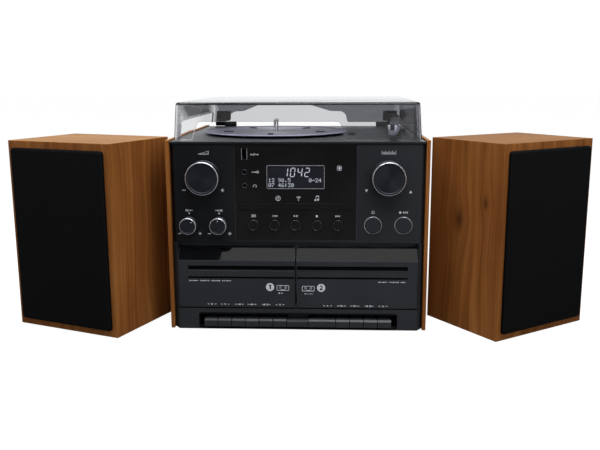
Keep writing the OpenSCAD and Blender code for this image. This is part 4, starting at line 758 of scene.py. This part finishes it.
def window_marks(white, silver, grey, dim, lit):
    """Signs on the glossy window and the lit display."""
    marks = Print(FASCIA_Y)
    x, z = CONTROLS_X - 54.4, 241
    marks.line(x - 4.5, z, x + 4.5, z, 0.6)
    marks.disc(x - 4.4, z, 1.0)
    marks.triangle(x + 4.6, z, 1.3, 0)
    marks.line(x - 1.6, z, x + 0.6, z + 1.8, 0.5)
    marks.line(x - 2.6, z, x - 0.4, z - 1.8, 0.5)
    z = 217.6
    marks.line(x - 4.2, z, x + 1.4, z, 0.7)
    marks.triangle(x + 2.2, z, 1.7, 0)
    marks.frame(x + 4.2, z, 2.2, 3.6, 0.5, 0.6)
    z = 199.4
    marks.arc(x, z - 0.6, 2.2, 0, 180, 0.5)
    marks.box(x - 1.9, z - 1.1, 0.9, 1.7)
    marks.box(x + 1.9, z - 1.1, 0.9, 1.7)
    marks.frame(56.1, 223.1, 6.2, 6.2, 0.5, 1.4)
    marks.disc(56.1, 223.1, 1.7)
    for dx in (-1, 0, 1):
        marks.box(CONTROLS_X - 2 * SMALL_PITCH, 158.4 + dx * 1.3, 6.2, 0.6)
    back, play, stop, ahead = (CONTROLS_X + (i - 2) * SMALL_PITCH for i in (1, 2, 3, 4))
    z = 158.5
    for d in (0, 2.4):
        marks.triangle(back + 0.4 + d, z, 1.5, 180)
        marks.triangle(ahead - 0.4 - d, z, 1.5, 0)
    marks.box(back - 2.1, z, 0.6, 2.6)
    marks.box(ahead + 2.1, z, 0.6, 2.6)
    marks.triangle(play - 1.7, z, 1.6, 0)
    marks.box(play + 1.0, z, 0.7, 2.6)
    marks.box(play + 2.5, z, 0.7, 2.6)
    marks.box(stop, z, 2.6, 2.6)
    disc_x, wave_x, note_x, z = -25.5, 1.8, 25.5, 182.4
    marks.ring(disc_x, z, 3.4, 0.7)
    marks.ring(disc_x, z, 1.2, 0.5)
    for r in (1.6, 3.0, 4.4):
        marks.arc(wave_x, z - 1.6, r, 45, 135, 0.6, 8)
    marks.box(wave_x, z - 2.4, 0.7, 2.6)
    marks.disc(note_x - 1.2, z - 2.2, 1.3)
    marks.disc(note_x + 2.4, z - 1.7, 1.3)
    marks.box(note_x - 0.2, z + 0.3, 0.5, 5)
    marks.box(note_x + 3.4, z + 0.8, 0.5, 5)
    marks.line(note_x - 0.4, z + 2.9, note_x + 3.6, z + 3.4, 1.1)
    marks.piece("marks_window", "root", "pale_plastic", white)

    edge = Print(FASCIA_Y - 0.05, 0.25)
    edge.frame(CONTROLS_X, LCD_Z, LCD_W + 0.4, LCD_H + 0.4, 0.6, 1.8)
    edge.piece("display_edge", "root", "bright_metal", silver)
    # Painted highlight: thin grey lines along the window's left and right edges, where its chamfer catches the light.
    for x in (CONTROLS_X - 81.5, CONTROLS_X + 81.5):
        edge = Print(FASCIA_Y, 0.08)
        edge.box(x, 189.4, 0.4, 127)
        edge.piece(f"window_edge_highlight_{'left' if x < 0 else 'right'}", "root", "zinc_steel", grey)
    tray_y = (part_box("cd_tray")[0].y - UNIT.y) / MM
    slit = Print(tray_y, 0.08)
    slit.box(CONTROLS_X + 39, 170.4, 62, 0.5)
    slit.piece("tray_line", "cd_tray", "black_gloss", dim)
    shell = Print(FASCIA_Y - 0.45, 0.1)
    for dx in (-3.5, 3.6):
        shell.box(CONTROLS_X + SOCKET_X + dx, 241.5, 0.55, 14.6)
    shell.piece("data_socket_edge", "root", "zinc_steel", silver)

    glass_y = FASCIA_Y + 0.6
    digits = Print(glass_y, 0.05)
    for place, digit in enumerate("1042"):
        seven_segment(digits, digit, CONTROLS_X - 16.8 + place * 9.6, 211.6, 5.4, 11.4, 0.95, lean=0.12)
    for text, x, z in (("12 98.5", CONTROLS_X - LCD_W / 2 + 2.4, 204.6), ("0-24", CONTROLS_X + LCD_W / 2 - 20.2, 204.6),
                       ("07 46:30", CONTROLS_X - LCD_W / 2 + 2.4, 198.0)):
        dot_row(digits, text, x, z, 0.72)
    digits.piece("display_digits", "root", "pale_plastic", lit)


def door_marks(white, dark):
    """Numbered discs, a cassette sign beside each, and the signs above the keys."""
    for side, x, z in (("left", -37.1, 61.2), ("right", 32.4, 60.6)):
        marks = Print(DOOR_Y)
        marks.disc(x, z, 5.6, 40)
        out = 1 if side == "left" else -1
        reel = x + out * 17.5
        marks.frame(reel, z - 1.2, 17, 7.4, 0.7, 1.3)
        for dx in (-3.6, 3.6):
            marks.ring(reel + dx, z - 0.6, 1.5, 0.5, 20)
        marks.box(reel, z - 3.6, 6, 0.6)
        low = z - 8.6
        if side == "left":
            marks.disc(reel - 5, low, 1.0)
            marks.triangle(reel - 1.4, low, 1.3, 0)
        else:
            marks.triangle(reel - 4, low, 1.3, 0)
            marks.line(reel - 1, low, reel + 6, low, 0.5)
        keys = ((-117.3, -98.9, -79.6, -62.2, -42.7, -23.8) if side == "left" else (41.3, 60.1, 78.3, 97.6, 116.6))
        signs = (("dot", "play", "back", "ahead", "stop", "pause") if side == "left"
                 else ("play", "back", "ahead", "stop", "pause"))
        for key_x, sign in zip(keys, signs):
            key_z = 36.4 if side == "left" else 35.4
            key_sign(marks, sign, key_x, key_z)
            for dx in (-5.4, -4.0, 4.0, 5.4):
                marks.box(key_x + dx, key_z, 0.9, 1.1)
        start, letters = (-147.6, 27) if side == "left" else (109.5, 17)
        for i in range(letters):
            if i % 7 != 6:
                marks.box(start + i * 2.15 + 0.8, 69.6 if side == "left" else 69.2, 1.5, 1.5 - 0.35 * (i % 3))
        marks.piece(f"marks_door_{side}", f"door_{side}", "pale_plastic", white)
        digit = Print(DOOR_Y - 0.08)
        if side == "left":
            digit.box(x + 0.4, z, 1.7, 6.6)
            digit.line(x - 1.5, z + 1.6, x + 0.6, z + 2.9, 1.2)
        else:
            digit.arc(x, z + 1.3, 2.2, -35, 165, 1.3)
            digit.line(x + 1.6, z + 0.5, x - 1.5, z - 2.3, 1.4)
            digit.box(x, z - 2.5, 4.4, 1.3)
        digit.piece(f"number_{side}", f"door_{side}", "charcoal", dark)


def key_sign(marks, sign, x, z):
    size = 1.5
    if sign == "dot":
        marks.disc(x, z, 1.1, 18)
    elif sign == "stop":
        marks.box(x - 2.2, z, 2.0, 2.0)
        marks.triangle(x + 1.6, z + 0.3, size, 90)
        marks.box(x + 1.6, z - 1.0, 2.4, 0.5)
    elif sign == "pause":
        marks.box(x - 0.9, z, 0.7, 2.2)
        marks.box(x + 0.9, z, 0.7, 2.2)
    elif sign == "play":
        marks.triangle(x, z, size, 0)
    else:
        heading = 180 if sign == "back" else 0
        for d in (-1.1, 1.1):
            marks.triangle(x + d, z, size, heading)


def door_bands(gloss, groove_shade, lip_highlight):
    """Glossy strip on the slope of each door, near-black sheets of painted shade on the floors of its grooves, and a
    strip of painted highlight along the edge below the upper one.
    """
    for side in ("left", "right"):
        low, high = (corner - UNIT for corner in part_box(f"cassette_door_{side}"))
        x0, x1 = low.x / MM + 0.9, high.x / MM - 0.9
        run = Vector((DOOR_TOP_Y - DOOR_Y, DOOR_TOP_Z - DOOR_BEND_Z)).normalized()
        out = Vector((-run.y, run.x)) * 0.2
        start, end = Vector((DOOR_Y, DOOR_BEND_Z)) + run * 0.7, Vector((DOOR_TOP_Y, DOOR_TOP_Z)) - run * 0.5
        outline = [start - out, end - out, end + out, start + out]
        new_object(f"door_gloss_{side}", prism("gloss", [tuple(p) for p in outline], "X", x0, x1), f"door_{side}",
                   gloss)
        x0, x1 = (x0 + 12.6, x1 + 0.5) if side == "left" else (x0 - 0.5, x1 - 12.6)
        # Painted shade: near-black sheets on the floors of the two recesses.
        for depth, (z0, z1), name in ((GROOVE_DEPTH, GROOVE_Z, "groove_shade"), (LINE_DEPTH, LINE_Z, "line")):
            floor = Print(DOOR_Y + depth, 0.08)
            floor.box((x0 + x1) / 2, (z0 + z1) / 2, x1 - x0, z1 - z0)
            floor.piece(f"door_{name}_{side}", f"door_{side}", "charcoal", groove_shade)
        # Painted highlight: a thin grey strip along the edge below the upper recess.
        edge = Print(DOOR_Y - BAND_OUT, 0.08)
        edge.box((x0 + x1) / 2, GROOVE_Z[0] - 0.95, x1 - x0 - 2, 0.5)
        edge.piece(f"door_lip_highlight_{side}", f"door_{side}", "charcoal", lip_highlight[side])


def knob_pointers(white):
    """Small pointer on the face of each tone knob."""
    for x, name, degrees in zip(TONE_X, ("bass", "treble"), (48, 92)):
        marks = Print(FASCIA_Y - TONE_OUT + 0.5, 0.12)
        a = math.radians(degrees)
        inner, outer = 6.2, 9.2
        cx = CONTROLS_X + x
        marks.line(cx + inner * math.cos(a), SMALL_Z + inner * math.sin(a), cx + outer * math.cos(a),
                   SMALL_Z + outer * math.sin(a), 0.9)
        marks.piece(f"pointer_{name}", f"knob_{name}", "pale_plastic", white)


# Dust cover


def loft(bm, sections):
    """Closed body through level outlines with as many points each, lowest first."""
    rows = [[bm.verts.new(p) for p in section] for section in sections]
    bm.faces.new(rows[0][::-1])
    bm.faces.new(rows[-1])
    for low, high in zip(rows, rows[1:]):
        for i in range(len(low)):
            n = (i + 1) % len(low)
            bm.faces.new((low[i], low[n], high[n], high[i]))


COVER_HALF, COVER_Y0, COVER_Y1 = 164.5, 6, 330
COVER_Z, COVER_H, COVER_T, COVER_DRAFT = 260, 49, 2.4, 3


def cover_section(inset, z, corner):
    """Level outline of the cover at height z, drawn in from its lower edge by inset."""
    middle = (COVER_Y0 + COVER_Y1) / 2
    points = round_box(0, middle, 2 * (COVER_HALF - inset), COVER_Y1 - COVER_Y0 - 2 * inset, corner, 8)
    return [at(x, y, z) for x, y in points]


def cover_body(name, inset, low, high, edge):
    """Tapered body with a rounded upper edge."""
    bm = bmesh.new()
    corner = 7 - inset * 0.8
    drafted = lambda z: inset + COVER_DRAFT * (z - COVER_Z) / COVER_H
    sections = [cover_section(drafted(low), low, corner), cover_section(drafted(high - edge), high - edge, corner)]
    for i in range(1, 7):
        a = math.radians(90 * i / 6)
        z = high - edge + edge * math.sin(a)
        sections.append(cover_section(drafted(z) + edge * (1 - math.cos(a)), z, corner))
    loft(bm, sections)
    return finish_mesh(name, bm)


def rounded_path(points, radii, steps=7):
    """Outline through points with each corner rounded by its radius."""
    path = []
    count = len(points)
    for i, (point, radius) in enumerate(zip(points, radii)):
        here, before, after = (Vector(points[k]) for k in (i, i - 1, (i + 1) % count))
        if not radius:
            path.append(tuple(here))
            continue
        to_before, to_after = (before - here).normalized(), (after - here).normalized()
        half = to_before.angle(to_after) / 2
        start, end = here + to_before * radius / math.tan(half), here + to_after * radius / math.tan(half)
        centre = here + (to_before + to_after).normalized() * radius / math.sin(half)
        first, last = start - centre, end - centre
        for k in range(steps + 1):
            part = k / steps
            spoke = first.normalized().slerp(last.normalized(), part)
            path.append(tuple(centre + spoke * radius))
    return path


def prism(name, outline, along, low, high):
    """Upright body of an outline in Z and X, or Z and Y, between two places along the other axis."""
    bm = bmesh.new()
    rows = []
    for place in (low, high):
        rows.append([bm.verts.new(at(u, place, v) if along == "Y" else at(place, u, v)) for u, v in outline])
    bm.faces.new(rows[0])
    bm.faces.new(rows[1][::-1])
    for i in range(len(outline)):
        n = (i + 1) % len(outline)
        bm.faces.new((rows[0][i], rows[0][n], rows[1][n], rows[1][i]))
    return finish_mesh(name, bm)


def carve(base, cutters):
    """Mesh of base less all cutters."""
    target = bpy.data.objects.new("carved", base)
    bpy.context.scene.collection.objects.link(target)
    helpers = []
    for mesh in cutters:
        helper = bpy.data.objects.new("cutter", mesh)
        bpy.context.scene.collection.objects.link(helper)
        cut = target.modifiers.new("cut", "BOOLEAN")
        cut.operation, cut.solver, cut.object = "DIFFERENCE", "EXACT", helper
        helpers.append(helper)
    bpy.context.view_layer.update()
    mesh = bpy.data.meshes.new_from_object(target.evaluated_get(bpy.context.evaluated_depsgraph_get()))
    for helper in [target, *helpers]:
        bpy.data.objects.remove(helper)
    return mesh


def make_cover(mat):
    """Smoked cover with the record's cut-outs in its front, left and rear walls."""
    top = COVER_Z + COVER_H
    low = COVER_Z - 1
    front = rounded_path([(-140, low), (-132, COVER_Z + 22), (-128, COVER_Z + 24), (53, COVER_Z + 24),
                          (57, COVER_Z + 22), (65, low)], [0, 3, 3, 3, 3, 0])
    side = rounded_path([(44, low), (53, COVER_Z + 22), (COVER_Y1 - 12, COVER_Z + 22), (COVER_Y1 - 10, low)],
                        [0, 6, 5, 0])
    rear = rounded_path([(-170, low), (-170, COVER_Z + 5), (-139, COVER_Z + 5), (-136, COVER_Z + 18),
                         (-126, COVER_Z + 23.5), (-111, COVER_Z + 24.5), (-83, COVER_Z + 34.5),
                         (9, COVER_Z + 34.5), (38, COVER_Z + 24.5), (60, COVER_Z + 23.5), (68, COVER_Z + 18),
                         (73, COVER_Z + 5), (170, COVER_Z + 5), (170, low)],
                        [0, 0, 2, 5, 5, 14, 20, 20, 14, 5, 5, 2, 0, 0])
    mesh = carve(cover_body("cover", 0, COVER_Z, top, 2.6),
                 [cover_body("inner", COVER_T, COVER_Z - 1, top - COVER_T, 0.8),
                  prism("front", front, "Y", COVER_Y0 - 2, COVER_Y0 + 12),
                  prism("side", side, "X", -COVER_HALF - 2, -COVER_HALF + 14),
                  prism("rear", rear, "Y", COVER_Y1 - 14, COVER_Y1 + 2)])
    piece = new_object("smoked_cover", mesh, "cover", mat, ["dust_cover"])
    bevel = piece.modifiers.new("edges", "BEVEL")
    bevel.width, bevel.segments = 0.45 * MM, 2
    bevel.limit_method, bevel.angle_limit = "ANGLE", math.radians(40)
    mesh.shade_smooth()
    mesh.set_sharp_from_angle(angle=math.radians(38))
    return piece


# Turntable details


def platter_pads(mat):
    """Rubber pads that the record rests on, over the platter's bosses."""
    bm = bmesh.new()
    for i in range(5):
        a = math.radians(52 + 72 * i)
        turn = Matrix.Rotation(a, 4, "Z")
        outline = round_box(0, 0, 15, 8, 3.9, 6)
        rows = []
        for inset, z in ((0, PLATTER_Z - 0.8), (0, PLATTER_Z - 0.1), (0.35, PLATTER_Z + 0.12)):
            shape = [(x * (1 - inset / 7.5), y * (1 - inset / 4)) for x, y in outline]
            row = []
            for x, y in shape:
                p = turn @ Vector((72 + x, y, 0))
                row.append(bm.verts.new(at(SPINDLE[0] + p.x, SPINDLE[1] + p.y, z)))
            rows.append(row)
        bm.faces.new(rows[0][::-1])
        bm.faces.new(rows[-1])
        for low, high in zip(rows, rows[1:]):
            for k in range(len(low)):
                n = (k + 1) % len(low)
                bm.faces.new((low[k], low[n], high[n], high[k]))
    new_object("platter_pads", finish_mesh("platter_pads", bm), "platter", mat)


def make_head(shell_mat, pale, slot_mat):
    """Head of the tonearm: a rounded shell, turned in over the record, with two pale posts beside a dark slot; the
    posts' paleness is partly a painted highlight.
    """
    turn = math.radians(HEAD_TURN)
    right, back = Vector((math.cos(turn), -math.sin(turn))), Vector((math.sin(turn), math.cos(turn)))

    def spot(u, depth, z):
        flat = Vector(HEAD_FRONT) + right * u + back * depth
        return at(flat.x, flat.y, z)

    bm = bmesh.new()
    rows = []
    for inset, depth, low in ((2.6, 0.0, 264.4), (1.1, 0.5, 264.3), (0.3, 1.5, 264.3), (0.0, 3.0, 264.3),
                              (0.0, 8.0, 266.0), (0.2, 20.0, 273.2)):
        high = HEAD_TOP - 0.35 * inset
        outline = round_box(0, (low + high) / 2, HEAD_W - 2 * inset, high - low - inset, min(4.6, (high - low) / 2.2), 7)
        rows.append([bm.verts.new(spot(u, depth, z)) for u, z in outline])
    bm.faces.new(rows[0])
    bm.faces.new(rows[-1][::-1])
    for near, far in zip(rows, rows[1:]):
        for i in range(len(near)):
            n = (i + 1) % len(near)
            bm.faces.new((near[i], far[i], far[n], near[n]))
    new_object("head_shell", finish_mesh("head_shell", bm, 50), "arm", shell_mat, ["cartridge"])

    # Posts in pale plastic: partly the head's own pale colour, partly a painted highlight on either side of the slot.
    posts = bmesh.new()
    for side in (-1, 1):
        rings = []
        for z, r in ((270.4, 0.7), (270.9, 1.4), (272.0, 1.85), (276.8, 1.85), (277.9, 1.4), (278.4, 0.7)):
            rings.append([posts.verts.new(spot(side * 4.5 + r * math.cos(a), 1.2 + r * 1.25 * math.sin(a), z))
                          for a in (math.tau * k / 20 for k in range(20))])
        posts.faces.new(rings[0][::-1])
        posts.faces.new(rings[-1])
        for low, high in zip(rings, rings[1:]):
            for i in range(20):
                n = (i + 1) % 20
                posts.faces.new((low[i], low[n], high[n], high[i]))
    new_object("head_posts", finish_mesh("head_posts", posts, 60), "arm", pale)

    slot = bmesh.new()
    rows = []
    for depth in (-0.3, 4.0):
        outline = round_box(0, 275.2, 5.2, 7.0, 1.2, 4)
        rows.append([slot.verts.new(spot(u, depth, z)) for u, z in outline])
    slot.faces.new(rows[0])
    slot.faces.new(rows[1][::-1])
    for i in range(len(rows[0])):
        n = (i + 1) % len(rows[0])
        slot.faces.new((rows[0][i], rows[1][i], rows[1][n], rows[0][n]))
    new_object("head_slot", finish_mesh("head_slot", slot), "arm", slot_mat)


# Speakers


def speaker_frame(side):
    """Matrix from a speaker's own millimetres, about the middle of its body, to the scene."""
    low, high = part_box(f"speaker_cabinet_{side}")
    middle = (low + high) / 2
    return Matrix.Translation(middle) @ Matrix.Rotation(math.radians(SPEAKER_TURN[side]), 4, "Z") @ Matrix.Scale(MM, 4)


def grille(side, mat):
    """Cloth stretched over its frame: rounded edges and a slightly full face."""
    place = speaker_frame(side)
    width, height, thick, edge = 152, 239, 6.3, 3.4
    front, back = -SPEAKER_D / 2 - 0.2 - thick, -SPEAKER_D / 2 - 0.2
    sections = [(0.0, back, 4.0), (0.0, front + edge, 4.0)]
    for i in range(1, 7):
        a = math.radians(15 * i)
        sections.append((edge * (1 - math.cos(a)), front + edge * (1 - math.sin(a)), 4.0))
    bm = bmesh.new()
    rows = []
    for inset, y, corner in sections:
        outline = round_box(0, 0, width - 2 * inset, height - 2 * inset, corner, 6)
        rows.append([bm.verts.new(place @ Vector((x, y, z))) for x, z in outline])
    bm.faces.new(rows[0])
    bm.faces.new(rows[-1][::-1])
    for low, high in zip(rows, rows[1:]):
        for k in range(len(low)):
            n = (k + 1) % len(low)
            bm.faces.new((low[k], high[k], high[n], low[n]))
    new_object(f"cloth_{side}", finish_mesh(f"cloth_{side}", bm), "root", mat, [f"grille_{side}"])


# Dressing of the construction's nodes


def dress_all():
    satin = moulded("black_satin", "0d0f11", "16181b", 0.42, 0.22)
    # Painted light: the fascia's colour grows lighter towards the right.
    fascia = moulded("fascia_satin", "0b0d0f", "141619", 0.42, 0.22,
                     sweep=(0, at(-150, 0, 0).x, at(190, 0, 0).x, "2a2c30"))
    window = polished("black_gloss", "131314", "19191a", 0.1, 0.22)
    charcoal = moulded("charcoal", "282a2e", "323438", 0.4, 0.16)
    # Painted shade: the deck's grey grows darker towards the right.
    deck = moulded("deck_grey", "2b2d30", "36383b", 0.38, 0.35, front="101113",
                   sweep=(0, at(-40, 0, 0).x, at(170, 0, 0).x, "1f2124"))
    keys = moulded("key_black", "25272b", "303237", 0.26, 0.35)
    jet = moulded("jet_black", "070709", "0d0d10", 0.45, 0.12)
    lever = polished("lever_black", "0c0c0d", "131315", 0.2, 0.4)
    face = spun("knob_face", "22242a", "44464d")
    bright = chrome("bright_metal")
    silver = metal("silver_metal", "bcbdc6", "e4e4ea", 0.24, shade=0.6)
    grey = metal("grey_metal", "54565b", "84878d", 0.35)
    zinc = metal("zinc_steel", "7c7f84", "a2a5aa", 0.35)
    dark_steel = metal("dark_steel", "1d1f22", "34373b", 0.4, shade=0.8)
    brass = metal("brass", "9c7a35", "cda95a", 0.25)
    black_rubber = rubber("rubber_black")
    white = ink("white_ink", "d4d6dd")
    dark = moulded("dark_ink", "08080a", "0c0c0e", 0.6, 0.1)
    lit = ink("lit_segments", "c3c8d6", 0.4)
    screen = polished("display_glass", "202127", "27282f", 0.1, 0.22)
    platter_grey = slip_mat("platter_grey", at(*SPINDLE, PLATTER_Z))
    arm = moulded("arm_grey", "2c313a", "383d47", 0.35, 0.35, sweep=(1, at(0, 93, 0).y, at(0, 97, 0).y, "08090c"))
    pale = moulded("pale_plastic", "b9bac6", "d3d4de", 0.3, 0.45)
    fascia_button = moulded("button_satin", "222428", "2d2f34", 0.4, 0.25)
    case_middle = (CASE_LOW + CASE_HIGH) / 2

    panel_wood = Wood("wood_panels", case_middle, 0, seed=0.31).mat
    speaker_wood = {
        "left": Wood("wood_left", speaker_frame("left").translation, SPEAKER_TURN["left"], seed=0.07).mat,
        "right": Wood("wood_right", speaker_frame("right").translation, SPEAKER_TURN["right"],
                      [(-0.122, 0.050, 0.006), (-0.075, 0.022, 0.011)], seed=0.55, top=Wood.TOP_DEEP).mat,
    }
    plain = {
        "base_tray": (satin, 0.5), "rear_panel": (satin, 0.4), "turntable_deck": (deck, 0.5),
        "control_fascia": (fascia, 0.5), "display_window": (window, 0.35), "lcd_module": (screen, None),
        "front_sockets": (dark_steel, None), "cassette_frame": (charcoal, 0.5), "rubber_feet": (black_rubber, 0.5),
        "case_screws": (dark_steel, 0.2), "circuit_boards": (board("board_green"), None), "transformer": (zinc, 0.3),
        "rear_sockets": (satin, 0.25), "cd_mechanism": (dark_steel, 0.3), "cassette_mechanism": (zinc, 0.2),
        "turntable_motor": (zinc, 0.3), "motor_pulley": (brass, None), "drive_belt": (black_rubber, None),
        "hinge_bases": (jet, 0.5), "tonearm_base": (jet, 0.3), "cover_hinges": (jet, 0.5),
        "platter": (platter_grey, 0.3), "spindle": (bright, None), "tonearm_yoke": (jet, 0.3),
        "tonearm": (arm, 0.5), "cartridge": (pale, None), "lift_lever": (lever, 0.4), "speed_lever": (lever, 0.4),
        "cd_tray": (window, 0.3), "cassette_door_left": (charcoal, 0.35), "cassette_door_right": (charcoal, 0.35),
        "side_panels": (panel_wood, 0.5), "speaker_drivers": (bare("cone_black", "1a1a1b"), None),
        "speaker_cabinet_left": (speaker_wood["left"], 0.6), "speaker_cabinet_right": (speaker_wood["right"], 0.6),
        "knob_volume": (face, 0.25), "knob_tuning": (face, 0.25), "knob_bass": (face, None),
        "knob_treble": (face, None),
    }
    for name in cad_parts:
        if name.startswith("key_"):
            plain[name] = (keys, 0.5)
        elif name.startswith("button_"):
            on_window = name not in ("button_power", "button_record")
            plain[name] = (window if on_window else fascia_button, 0.3)
    for name, (mat, edge) in plain.items():
        dress(name, mat, edge=edge)

    fascia_rings(silver, grey)
    fascia_marks(white)
    window_marks(white, silver, grey, dark_steel, lit)
    door_marks(white, dark)
    # The recess floors are painted shade; the strips below the upper recesses are painted highlight, bright on the left
    # door and dim on the right.
    door_bands(glazed("door_gloss", "08090b", "0b0c0e", 0.09), moulded("groove_painted_shade", "050506", "08090a", 0.6, 0.05),
               {"left": grey, "right": dark_steel})
    knob_pointers(white)
    platter_pads(black_rubber)
    make_head(moulded("head_grey", "7e7d8b", "8e8c9c", 0.35, 0.4), pale, lever)
    make_cover(smoked("smoked_clear", at(0, 40, 0).y, at(0, 300, 0).y))
    for side in ("left", "right"):
        matrix = speaker_frame(side)
        grille(side, cloth(f"grille_cloth_{side}", matrix.translation, SPEAKER_TURN[side]))


make_camera()
make_world(0.3)
make_floor(shade_kept=0.3, bounce=0.2, glow_level=1.3)
for side, width, shift, watts in (("left", 0.406, -0.647, 7.5), ("right", 1.134, 0.283, 21)):
    area_lamp(f"overhead_{side}", at(60, -420, 1500), at(0, 120, 150), width, 1.1, watts, -20, shift)
area_lamp("front_left", at(-1900, -700, 700), at(0, 0, 120), 0.9, 1.2, 3.4)
area_lamp("front_right", at(760, -980, 420), at(60, 0, 150), 0.4, 0.6, 2.0)
dress_all()
bpy.context.scene.view_settings.view_transform = "Standard"
